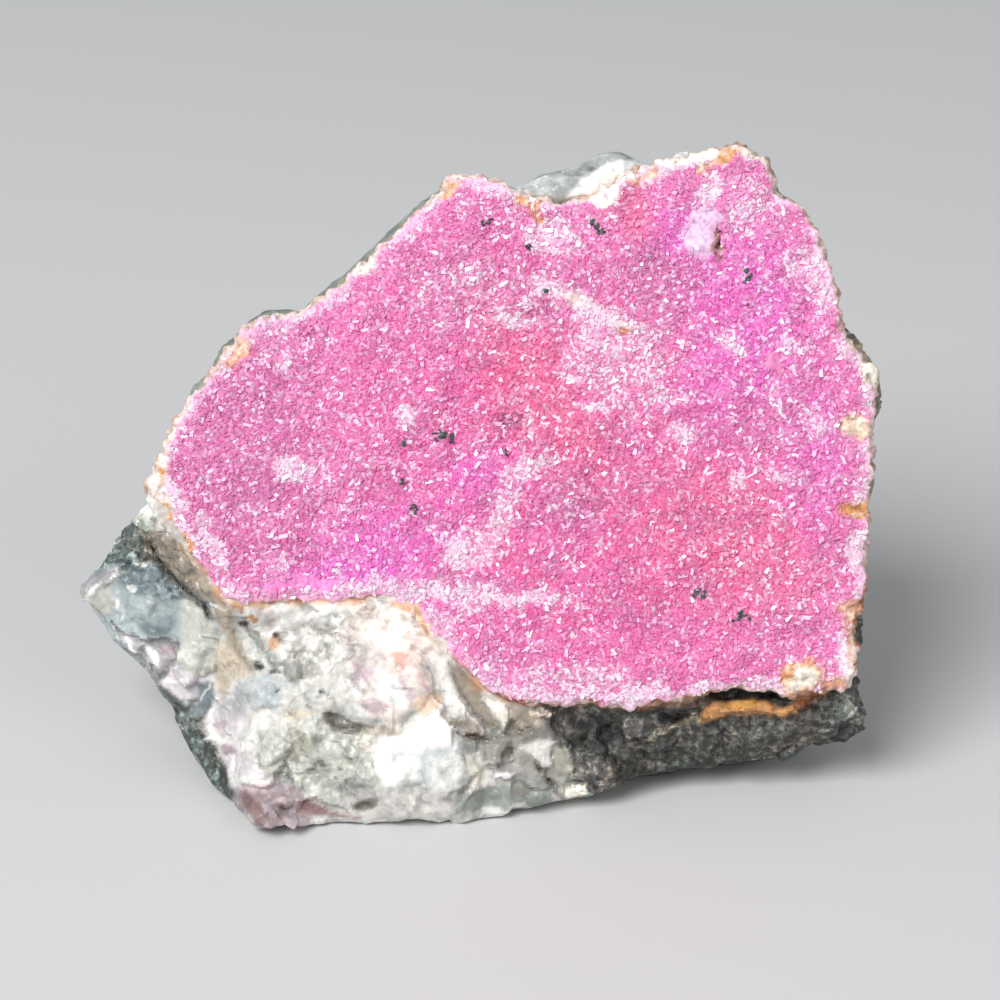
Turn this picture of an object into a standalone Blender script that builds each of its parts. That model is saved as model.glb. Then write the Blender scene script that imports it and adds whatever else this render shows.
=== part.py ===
"""Dolomite specimen: a pink druse of small crystals on a broken piece of quartz and grey dolostone.

The specimen is modelled in the plane of its druse: x runs across the face, y up it and z out of
it. Both pieces then lean back by the same angle and stand on the flat break under the rock. The
origin is the middle of the specimen's outline seen from above, on the surface that it rests on.
"""

import math

import bmesh
import bpy
from mathutils import Matrix, Vector, noise

MM = 0.001

# The stance: how far the druse leans back, and where the middle of its plane stands
LEAN = math.radians(22)
FACE_MIDDLE = Vector((2.99, -8.52, 35.3)) * MM

# The crust of crystals
CRUST_THICKNESS = 2.3 * MM
CRUST_CELL = 2.5 * MM
CRUST_SWELL = 0.7 * MM
CRUST_SWELL_SIZE = 16 * MM
CRYSTAL_RELIEF = 0.3 * MM
CRYSTAL_RELIEF_SIZE = 2.2 * MM
CRUST_EDGE_DROP = 0.5 * MM

# The seat of the crust in the rock: its gap all round, and how far it is open above the face
SEAT_GAP = 0.3 * MM
SEAT_TOP = 10 * MM

# Angles that tell a flat join from a corner, and how near a slice may pass to a point
FLAT_ANGLE = math.radians(0.5)
CORNER_ANGLE = math.radians(57)
SLICE_SNAP = 0.2 * MM
BREAK_SNAP = 0.001 * MM
WELD = 0.01 * MM

# The rock before it was broken to shape
SLAB_FRONT = -1.5 * MM
SLAB_BACK = -48 * MM
LONG_ENOUGH = 120 * MM

# The milky quartz swells out of the rock below the druse: its middle and its reach, in mm
QUARTZ_MIDDLE = Vector((-13.5, -27.0, -7.0))
QUARTZ_REACH = Vector((17.5, 15.0, 9.3))

# The broken surface of the rock
ROCK_GRAIN = 1.5 * MM
ROCK_RELIEFS = ((14 * MM, 0.9 * MM), (4 * MM, 0.5 * MM))
ROCK_FACES = 5600

# The rock's outline seen square to the druse, clockwise from the tip at the left, in mm
ROCK_OUTLINE = (
    (-50.4, -10.8), (-46.6, -5.6), (-42.8, -1.4), (-38.9, 5.2), (-36.6, 10.1), (-33.2, 15.6),
    (-29.6, 19.8), (-26.8, 21.2), (-23.0, 21.5), (-19.8, 24.6), (-14.1, 29.9), (-9.4, 34.0),
    (-6.0, 36.1), (-1.9, 36.3), (2.1, 35.8), (6.8, 37.9), (12.2, 40.0), (16.2, 38.8),
    (21.7, 39.0), (26.8, 39.6), (31.0, 38.7), (31.9, 35.3), (34.4, 33.5), (36.6, 30.1),
    (38.3, 25.0), (39.4, 20.0), (42.2, 16.5), (43.2, 13.5), (42.8, 9.1), (43.2, 3.4),
    (42.1, -5.1), (42.0, -12.0), (41.0, -19.5), (43.4, -26.6), (42.0, -42.0), (-31.0, -42.0),
    (-36.4, -33.0), (-38.4, -27.4), (-41.2, -22.4), (-46.6, -15.4),
)

# The druse's outline, clockwise from its left corner, in mm
DRUSE_OUTLINE = (
    (-39.9, 1.6), (-38.3, 5.2), (-35.9, 9.9), (-32.6, 15.0), (-29.3, 19.1), (-26.6, 20.8),
    (-22.6, 21.0), (-18.8, 23.9), (-13.3, 28.7), (-8.9, 32.8), (-5.6, 35.8), (-1.9, 36.3),
    (2.3, 35.0), (6.4, 33.5), (11.4, 34.7), (15.0, 36.9), (21.7, 38.7), (26.8, 39.6),
    (30.4, 38.4), (31.5, 35.0), (34.1, 33.2), (36.2, 29.9), (37.8, 24.6), (39.0, 18.8),
    (41.5, 13.4), (41.8, 5.7), (41.4, 0.0), (41.5, -6.8), (40.9, -11.6), (40.1, -16.5),
    (39.8, -20.3), (37.2, -21.9), (34.0, -22.5), (26.8, -21.3), (22.8, -22.2), (16.0, -23.4),
    (8.0, -23.3), (1.4, -22.9), (-2.3, -21.2), (-4.8, -18.2), (-7.1, -15.5), (-9.3, -12.7),
    (-13.7, -10.7), (-17.7, -11.3), (-29.6, -11.5), (-31.5, -10.7), (-34.8, -6.8), (-38.2, -2.3),
)

# Broken sides of the rock: a point on each in mm, and the way that it faces
BROKEN_SIDES = (
    ((-12.0, 0.0, -29.0), (-0.34, 0.30, -0.89)),
    ((14.0, 0.0, -28.5), (0.36, 0.24, -0.90)),
    ((10.0, 24.0, -22.0), (0.05, 0.70, -0.71)),
    ((15.0, 39.5, -6.0), (0.04, 0.92, -0.38)),
    ((-24.0, 22.0, -8.0), (-0.57, 0.59, -0.57)),
    ((-45.5, -4.0, -18.0), (-0.80, 0.22, -0.56)),
    ((43.5, 5.0, -9.0), (0.84, 0.06, -0.54)),
    ((36.5, 28.0, -8.0), (0.66, 0.46, -0.59)),
    ((42.5, -20.0, -13.0), (0.70, -0.36, -0.61)),
    ((-27.1, -38.4, 0.0), (-0.80, -0.56, 0.23)),
    ((22.0, -31.8, -8.2), (0.2525, -0.966, 0.0675)),
)

# Hollow breaks, each bounded by planes: a point on each in mm, and the way that it faces
HOLLOW_BREAKS = {
    "left_break": (
        ((-39.9, -5.1, -5.0), (-0.345, -0.265, 0.900)),
        ((-39.9, -5.1, -5.0), (-0.684, -0.567, 0.459)),
        ((-30.2, -16.0, -4.5), (-0.840, 0.036, 0.540)),
    ),
    "left_tip_break": (
        ((-48.5, -11.0, -9.5), (-0.733, 0.564, 0.382)),
        ((-40.5, -1.0, 0.0), (-0.950, -0.300, 0.000)),
    ),
    "right_break": (
        ((5.0, -23.2, -1.8), (0.024, -0.583, 0.813)),
        ((-5.1, -17.7, 0.3), (0.410, 0.319, 0.854)),
    ),
    "back_ledge": (
        ((0.0, 5.0, -22.5), (0.10, 0.25, -0.96)),
        ((0.0, 3.0, -26.0), (-0.30, 0.92, 0.25)),
        ((-8.0, 10.0, -24.0), (0.82, 0.30, -0.48)),
    ),
}

# Conchoidal hollows in the broken sides: the middle of the ball that fits each, and its radius, in mm
CONCHOIDAL_HOLLOWS = (
    ((-24.0, -6.0, -52.0), 28.0),
    ((20.0, -12.0, -57.0), 29.0),
    ((66.0, -2.0, -28.0), 31.5),
    ((-33.7, 28.2, -33.7), 26.5),
)

FACE_TO_WORLD = Matrix.Translation(FACE_MIDDLE) @ Matrix.Rotation(math.radians(90) - LEAN, 4, "X")


def clear_scene():
    for obj in list(bpy.data.objects):
        bpy.data.objects.remove(obj, do_unlink=True)


def new_collection(name):
    collection = bpy.data.collections.new(name)
    bpy.context.scene.collection.children.link(collection)
    return collection


def new_material(name, colour, roughness):
    material = bpy.data.materials.new(name)
    material.use_nodes = True
    shader = material.node_tree.nodes["Principled BSDF"]
    shader.inputs["Base Color"].default_value = (*colour, 1)
    shader.inputs["Roughness"].default_value = roughness
    shader.inputs["Metallic"].default_value = 0
    return material


def new_object(name, body, collection):
    """Turns a bmesh into an object that leans with the druse."""
    mesh = bpy.data.meshes.new(name)
    body.to_mesh(mesh)
    body.free()
    obj = bpy.data.objects.new(name, mesh)
    obj.location = FACE_TO_WORLD.to_translation()
    obj.rotation_euler = FACE_TO_WORLD.to_euler()
    collection.objects.link(obj)
    return obj


def body_of(obj):
    """The object's shape with its modifiers worked out, as a bmesh."""
    bpy.context.view_layer.update()
    graph = bpy.context.evaluated_depsgraph_get()
    mesh = bpy.data.meshes.new_from_object(obj.evaluated_get(graph))
    body = bmesh.new()
    body.from_mesh(mesh)
    bpy.data.meshes.remove(mesh)
    return body


def remake(obj, body):
    """Gives the object this shape, and drops the modifiers that led to it."""
    obj.modifiers.clear()
    body.to_mesh(obj.data)
    body.free()


def filled_outline(name, outline, depth=0, grown_by=0):
    """A closed outline in mm, filled as a curve and given a depth, as a bmesh around z = 0."""
    curve = bpy.data.curves.new(name, "CURVE")
    curve.dimensions = "2D"
    curve.fill_mode = "BOTH"
    curve.extrude = depth / 2
    curve.offset = grown_by
    spline = curve.splines.new("POLY")
    spline.points.add(len(outline) - 1)
    for point, (across, up) in zip(spline.points, outline):
        point.co = (across * MM, up * MM, 0, 1)
    spline.use_cyclic_u = True
    guide = bpy.data.objects.new(name, curve)
    bpy.context.scene.collection.objects.link(guide)
    body = body_of(guide)
    bpy.data.objects.remove(guide)
    bmesh.ops.remove_doubles(body, verts=body.verts, dist=WELD)
    return body


def break_off(body, point, facing):
    """Breaks the body along a plane: what lies on the side it faces goes, and the break is closed."""
    geometry = body.verts[:] + body.edges[:] + body.faces[:]
    cut = bmesh.ops.bisect_plane(
        body, geom=geometry, dist=BREAK_SNAP, plane_co=point, plane_no=facing, clear_outer=True
    )
    rim = [item for item in cut["geom_cut"] if isinstance(item, bmesh.types.BMEdge)]
    bmesh.ops.triangle_fill(body, edges=rim, use_beauty=True, use_dissolve=True)
    bmesh.ops.recalc_face_normals(body, faces=body.faces)


def slice_across(body, direction, spacing):
    """Cuts faces along evenly spaced planes and keeps both sides, to give them inner points."""
    reach = int(LONG_ENOUGH / 2 / spacing)
    for step in range(-reach, reach + 1):
        geometry = body.verts[:] + body.edges[:] + body.faces[:]
        place = direction * step * spacing
        bmesh.ops.bisect_plane(
            body, geom=geometry, dist=SLICE_SNAP, plane_co=place, plane_no=direction
        )


def combine(obj, other, operation):
    modifier = obj.modifiers.new(other.name, "BOOLEAN")
    modifier.object = other
    modifier.operation = operation
    modifier.solver = "EXACT"


def hollow_break(name, planes, collection):
    """The volume that left with a hollow break: a block trimmed by the break's own planes."""
    body = bmesh.new()
    bmesh.ops.create_cube(body, size=LONG_ENOUGH)
    for point, facing in planes:
        break_off(body, Vector(point) * MM, -Vector(facing))
    return as_cutter(new_object(name, body, collection))


def ball(name, middle, reach, collection):
    """A ball with its middle and its reach each way in mm."""
    body = bmesh.new()
    bmesh.ops.create_icosphere(body, subdivisions=4, radius=MM)
    bmesh.ops.scale(body, verts=body.verts, vec=reach)
    bmesh.ops.translate(body, verts=body.verts, vec=middle * MM)
    return as_cutter(new_object(name, body, collection))


def as_cutter(obj):
    obj.hide_render = True
    obj.display_type = "WIRE"
    return obj


def crust(floor, top, grown_by=0):
    """The druse's outline as a plate from the floor to the top, with a lattice of points on it."""
    body = filled_outline("crust_outline", DRUSE_OUTLINE, grown_by=grown_by)
    bmesh.ops.dissolve_limit(body, angle_limit=FLAT_ANGLE, verts=body.verts, edges=body.edges)
    slice_across(body, Vector((1, 0, 0)), CRUST_CELL)
    slice_across(body, Vector((0, 1, 0)), CRUST_CELL)
    bmesh.ops.triangulate(body, faces=body.faces)
    bmesh.ops.translate(body, verts=body.verts, vec=(0, 0, floor))
    raised = bmesh.ops.extrude_face_region(body, geom=body.faces[:])["geom"]
    raised = [item for item in raised if isinstance(item, bmesh.types.BMVert)]
    bmesh.ops.translate(body, verts=raised, vec=(0, 0, top - floor))
    bmesh.ops.recalc_face_normals(body, faces=body.faces)
    return body, raised


def druse_height(place):
    """Height of the druse over its plane: a slow swell under a relief of crystals."""
    swell = noise.noise(place / CRUST_SWELL_SIZE) * CRUST_SWELL
    return swell + noise.noise(place / CRYSTAL_RELIEF_SIZE) * CRYSTAL_RELIEF


def build_druse(collection):
    body, raised = crust(-CRUST_THICKNESS, 0)
    corners = [edge for edge in body.edges if edge.calc_face_angle(0) > CORNER_ANGLE]
    rim = {vertex for edge in corners for vertex in edge.verts}
    for vertex in raised:
        vertex.co.z += druse_height(vertex.co.copy())
        if vertex in rim:
            vertex.co.z -= CRUST_EDGE_DROP
    druse = new_object("dolomite_druse", body, collection)
    druse.data.materials.append(new_material("pink_dolomite_crystals", (0.62, 0.13, 0.29), 0.35))
    return druse


def roughen(body):
    """Gives the broken sides their relief: large conchoidal hollows under smaller chips."""
    body.normal_update()
    moves = []
    for vertex in body.verts:
        relief = sum(noise.noise(vertex.co / size) * reach for size, reach in ROCK_RELIEFS)
        moves.append(vertex.normal * relief)
    for vertex, move in zip(body.verts, moves):
        vertex.co += move


def build_matrix(collection, cutters):
    body = filled_outline("rock_outline", ROCK_OUTLINE, depth=SLAB_FRONT - SLAB_BACK)
    bmesh.ops.translate(body, verts=body.verts, vec=(0, 0, (SLAB_FRONT + SLAB_BACK) / 2))
    for point, facing in BROKEN_SIDES:
        break_off(body, Vector(point) * MM, Vector(facing))
    rock = new_object("matrix", body, collection)
    rock.data.materials.append(new_material("quartz_and_dolostone", (0.42, 0.41, 0.39), 0.6))

    combine(rock, ball("quartz_swelling", QUARTZ_MIDDLE, QUARTZ_REACH, cutters), "UNION")
    for name, planes in HOLLOW_BREAKS.items():
        combine(rock, hollow_break(name, planes, cutters), "DIFFERENCE")
    for number, (middle, radius) in enumerate(CONCHOIDAL_HOLLOWS, 1):
        name = f"conchoidal_hollow_{number}"
        combine(rock, ball(name, Vector(middle), Vector((radius,) * 3), cutters), "DIFFERENCE")
    even = rock.modifiers.new("even_points", "REMESH")
    even.mode = "VOXEL"
    even.voxel_size = ROCK_GRAIN
    body = body_of(rock)
    roughen(body)
    faces = 2 * len(body.faces)
    remake(rock, body)

    thin = rock.modifiers.new("fewer_faces", "DECIMATE")
    thin.ratio = ROCK_FACES / faces
    seat, _ = crust(-CRUST_THICKNESS - SEAT_GAP, SEAT_TOP, grown_by=SEAT_GAP)
    combine(rock, as_cutter(new_object("druse_seat", seat, cutters)), "DIFFERENCE")
    body = body_of(rock)
    to_face = FACE_TO_WORLD.inverted()
    break_off(body, to_face @ Vector((0, 0, 0)), to_face.to_3x3() @ Vector((0, 0, -1)))
    bmesh.ops.triangulate(body, faces=body.faces)
    remake(rock, body)
    return rock


def main():
    clear_scene()
    specimen = new_collection("dolomite_specimen")
    cutters = new_collection("cutters")
    build_druse(specimen)
    build_matrix(specimen, cutters)


main()
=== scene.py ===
"""Looks of the dolomite specimen: a druse of pink, cobalt-bearing dolomite on quartz and dolostone.

Shapes and colours are laid out in the plane of the druse: across, up and out of it, in mm from the
middle of its face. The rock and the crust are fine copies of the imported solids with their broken
surfaces worked in, and thousands of single crystals grow on the crust.
"""

import math
import random

import bmesh
import bpy
import numpy as np
from mathutils import Matrix, Vector, noise
from mathutils.bvhtree import BVHTree


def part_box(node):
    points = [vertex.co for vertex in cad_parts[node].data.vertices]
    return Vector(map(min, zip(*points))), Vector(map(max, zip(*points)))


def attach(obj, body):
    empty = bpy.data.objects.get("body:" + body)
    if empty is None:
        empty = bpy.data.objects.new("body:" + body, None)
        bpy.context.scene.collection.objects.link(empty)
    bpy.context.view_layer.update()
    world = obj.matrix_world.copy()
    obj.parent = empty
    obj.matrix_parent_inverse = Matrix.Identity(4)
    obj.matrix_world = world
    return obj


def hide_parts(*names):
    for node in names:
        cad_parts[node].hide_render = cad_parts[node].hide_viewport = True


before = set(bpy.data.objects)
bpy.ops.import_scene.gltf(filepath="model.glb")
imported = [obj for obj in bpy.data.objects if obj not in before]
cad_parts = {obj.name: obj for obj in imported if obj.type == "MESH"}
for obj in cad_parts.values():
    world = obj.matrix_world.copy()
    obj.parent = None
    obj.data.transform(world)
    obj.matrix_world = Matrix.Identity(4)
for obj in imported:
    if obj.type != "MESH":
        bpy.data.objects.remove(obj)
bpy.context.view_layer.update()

MM = 0.001

# The noise that bends outlines and facets starts from here, so that every run gives the same stone
NOISE_SEED = 3
noise.seed_set(NOISE_SEED)

# The druse as packed: how far it leans back, and its reach from the middle of its face, in mm
LEAN = math.radians(22)
DRUSE_LEFT = 39.9
DRUSE_TOP = 39.6
DRUSE_BOTTOM = 23.4
CRUST_THICKNESS = 2.3

# The eye: how high it looks down from, how far it stands, and its lens on a sensor of usual width
EYE_HEIGHT = math.radians(25)
EYE_DISTANCE = 0.38
LENS = 120

# Fine meshes: how far apart their points are, and how often they are smoothed
ROCK_GRAIN = 0.64 * MM
CRUST_GRAIN = 0.42 * MM
WELD = 0.001 * MM
SMOOTHING = 3
SHARP_ANGLE = math.radians(19)

# The back of the crust is let into the rock this far, in mm, so that no gap shows between them
SEAT_DEPTH = 0.6

# The rock is swollen a little before flakes are struck off, and loses no more than this, in mm;
# the borders of a facet, of a shard and of its colour are this wide
SWELL = 0.3
LOSS_LIMIT = 0.8
FACET_BORDER = 0.28
SHARD_BORDER = 0.16
COLOUR_BORDER = 0.34

# Flakes struck off the rock: how many, their radius and their depth in mm, and their seed
WIDE_FLAKES = (120, (8, 18), (0.3, 0.8))
SMALL_FLAKES = (300, (3, 7), (0.12, 0.35))
FLAKE_SEED = 11

# Facets of the rock: their size in mm, where their noise starts, how far they step in mm, their tilt
WIDE_FACETS = (5.5, 1.0, 0.26, 0.2)
MIDDLE_FACETS = (2.2, 5.0, 0.11, 0.2)
SMALL_FACETS = (0.9, 9.0, 0.04, 0.22)

# Facets of the crust, where it is bare and along its broken edge
BARE_FACETS = (0.9, 2.0, 0.14, 0.3)
EDGE_FACETS = (1.3, 6.0, 0.22, 0.45)

# Sizes of the patterns in the materials: clouds and clumps of grains in the rock, its single grains,
# the faces that catch the light, the grain of the compact dolomite, and growth marks on the crystals;
# and how strongly dolomite bends light
CLOUD_SIZE = 4 * MM
CLUMP_SIZE = 1.1 * MM
GRAIN_SIZE = 0.6 * MM
GLINT_SIZE = 0.7 * MM
SPAR_SIZE = 0.5 * MM
GROWTH_SIZE = 0.25 * MM
DOLOMITE_IOR = 1.6

# The druse's crystals in three sizes: how far apart they start, the size of the cubes that they are
# stretched from, how far they lean, the range of their tints and the seed of their chances. So many
# are tried on each square as wide as they are apart, and those too close to others are left out
CROWDING = 1.6
CRYSTALS = {
    "druse_crystals_large": (0.54 * MM, (0.5 * MM, 0.74 * MM), 0.6, (0.3, 1.0), 1),
    "druse_crystals_small": (0.38 * MM, (0.38 * MM, 0.58 * MM), 0.8, (0.1, 0.92), 11),
    "druse_crystals_fine": (0.35 * MM, (0.3 * MM, 0.46 * MM), 1.0, (0.0, 0.7), 21),
}
SPECK_SEED = 5

# The stage: the floor's half width in metres, the lights' place and size in metres and power in
# watts, and how bright the room is
FLOOR_REACH = 2.0
FLOOR_GREY = "#c3c3c3"
LIGHTS = {
    "key": ((-0.55, -0.8, 1.0), 0.85, 23),
    "fill": ((0.9, -0.9, 0.6), 0.9, 4.5),
}
ROOM_WHITE = "#e8ecf0"
ROOM_BRIGHTNESS = 0.42

low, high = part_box("dolomite_druse")
face_middle = Vector((
    low.x + DRUSE_LEFT * MM,
    high.y - (DRUSE_TOP * math.sin(LEAN) + CRUST_THICKNESS * math.cos(LEAN)) * MM,
    low.z + (DRUSE_BOTTOM * math.cos(LEAN) + CRUST_THICKNESS * math.sin(LEAN)) * MM,
))
FACE_TO_WORLD = (
    Matrix.Translation(face_middle)
    @ Matrix.Rotation(math.radians(90) - LEAN, 4, "X")
    @ Matrix.Scale(MM, 4)
)
EYE = face_middle + Vector((0, -math.cos(EYE_HEIGHT), math.sin(EYE_HEIGHT))) * EYE_DISTANCE
EYE_IN_FACE = np.array(FACE_TO_WORLD.inverted() @ EYE)


def colour(hex_code):
    """An sRGB hex colour as linear red, green, blue and a full alpha."""
    parts = [int(hex_code[place:place + 2], 16) / 255 for place in (1, 3, 5)]
    linear = [c / 12.92 if c <= 0.04045 else ((c + 0.055) / 1.055) ** 2.4 for c in parts]
    return (*linear, 1)


def set_inputs(tree, node, inputs):
    """Gives a node's inputs a value each, or another node's output; a node stands for its first one."""
    for key, value in inputs.items():
        if isinstance(key, str):
            socket = next(s for s in node.inputs if s.name == key and s.enabled)
        else:
            socket = node.inputs[key]
        if isinstance(value, bpy.types.Node):
            value = value.outputs[0]
        if isinstance(value, bpy.types.NodeSocket):
            tree.links.new(value, socket)
        else:
            socket.default_value = value


def add(tree, kind, inputs=(), **settings):
    """Adds a node with its settings and inputs."""
    node = tree.nodes.new(kind)
    for name, value in settings.items():
        setattr(node, name, value)
    set_inputs(tree, node, dict(inputs))
    return node


def smooth_step(start, end, values):
    """0 at the start and beyond it, 1 at the end and beyond it, with a smooth rise between them."""
    share = np.clip((values - start) / (end - start), 0, 1)
    return share * share * (3 - 2 * share)


def tinted(colours, paint, share):
    """The colours with each place's share of a paint: a hex colour, or colours or a value of its own."""
    if isinstance(paint, str):
        paint = np.array(colour(paint))
    return colours + (paint - colours) * share[:, None]


def mixed(one, other, share):
    """Two hex colours mixed by each place's share of the other."""
    return tinted(np.array(colour(one)), other, share)


def places(mesh):
    """The mesh's points as rows of across, up and out, in mm."""
    flat = np.empty(len(mesh.vertices) * 3)
    mesh.vertices.foreach_get("co", flat)
    world_to_face = np.array(FACE_TO_WORLD.inverted())
    return flat.reshape(-1, 3) @ world_to_face[:3, :3].T + world_to_face[:3, 3]


def facings(mesh):
    """The mesh's normals as rows of across, up and out."""
    flat = np.empty(len(mesh.vertices) * 3)
    mesh.vertex_normals.foreach_get("vector", flat)
    turn = np.array(FACE_TO_WORLD.to_3x3().normalized())
    return flat.reshape(-1, 3) @ turn


def put_places(mesh, rows):
    """Moves the mesh's points to these places, but none of them under the floor."""
    face_to_world = np.array(FACE_TO_WORLD)
    world = rows @ face_to_world[:3, :3].T + face_to_world[:3, 3]
    world[:, 2] = np.maximum(world[:, 2], 0)
    mesh.vertices.foreach_set("co", world.ravel())
    mesh.update()


def above_floor(mesh):
    """Height of the mesh's points above the floor, in mm."""
    flat = np.empty(len(mesh.vertices) * 3)
    mesh.vertices.foreach_get("co", flat)
    return flat[2::3] / MM


def as_seen(rows):
    """Where the eye's line to each place crosses the plane of the druse: across and up, in mm."""
    share = EYE_IN_FACE[2] / (EYE_IN_FACE[2] - rows[:, 2])
    return EYE_IN_FACE[:2] + (rows[:, :2] - EYE_IN_FACE[:2]) * share[:, None]


def noise_at(rows, size, shift=0.0):
    """Smooth noise of this size in mm, about -1 to 1, at each place."""
    return np.array([noise.noise(Vector(row) / size + Vector((shift,) * 3)) for row in rows])


def warp_at(rows, size):
    """Smooth noise that points some way at each place."""
    return np.array([noise.noise_vector(Vector(row) / size) for row in rows])


def keep(mesh, name, values):
    """Stores one number or one colour for each point."""
    if values.ndim == 1:
        mesh.attributes.new(name, "FLOAT", "POINT").data.foreach_set("value", values)
    else:
        mesh.attributes.new(name, "FLOAT_COLOR", "POINT").data.foreach_set("color", values.ravel())


def in_scene(name, data):
    """A new object in the scene, for a mesh, a light or a camera."""
    obj = bpy.data.objects.new(name, data)
    bpy.context.scene.collection.objects.link(obj)
    return obj


def mesh_of(body, name):
    """The shape made with bmesh, as a mesh."""
    mesh = bpy.data.meshes.new(name)
    body.to_mesh(mesh)
    body.free()
    return mesh


def merged_copy(node):
    """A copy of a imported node's mesh, with its faces joined along their edges."""
    body = bmesh.new()
    body.from_mesh(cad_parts[node].data)
    bmesh.ops.remove_doubles(body, verts=body.verts, dist=WELD)
    return mesh_of(body, node)


def worked_out(obj, name):
    """The object's mesh with its modifiers applied; the object itself goes."""
    bpy.context.view_layer.update()
    graph = bpy.context.evaluated_depsgraph_get()
    mesh = bpy.data.meshes.new_from_object(obj.evaluated_get(graph))
    mesh.name = name
    bpy.data.objects.remove(obj)
    return mesh


def evened(mesh, grain):
    """The shape with points evenly spread over it, and the grid's steps smoothed away."""
    obj = in_scene(mesh.name, mesh)
    even = obj.modifiers.new("even_points", "REMESH")
    even.mode = "VOXEL"
    even.voxel_size = grain
    soft = obj.modifiers.new("no_steps", "SMOOTH")
    soft.factor = 0.5
    soft.iterations = SMOOTHING
    return worked_out(obj, mesh.name)


def tree_of(mesh, wanted=lambda facing: True):
    """A search tree of the mesh's faces that face as wanted, in the druse's own frame."""
    points = [Vector(row) for row in places(mesh)]
    turn = FACE_TO_WORLD.to_3x3().normalized().transposed()
    polygons = [p.vertices[:] for p in mesh.polygons if wanted(turn @ p.normal)]
    return BVHTree.FromPolygons(points, polygons)


def distance_to(tree, rows, reach):
    """Distance from each place to the tree's faces in mm, cut off at the reach."""
    found = (tree.find_nearest(Vector(row), reach)[3] for row in rows)
    return np.array([reach if gap is None else gap for gap in found])


def piece(name, mesh, material):
    """One piece of the visual model, which rides on the only body."""
    obj = in_scene(name, mesh)
    mesh.materials.clear()
    mesh.materials.append(material)
    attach(obj, "root")
    return obj


def in_ellipse(seen, across, up, half_length, half_width, turn):
    """How far each place is from the middle of an ellipse, where 1 is its edge."""
    turn = math.radians(turn)
    x = seen[:, 0] - across
    y = seen[:, 1] - up
    along = x * math.cos(turn) + y * math.sin(turn)
    aside = y * math.cos(turn) - x * math.sin(turn)
    return np.hypot(along / half_length, aside / half_width)


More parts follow.
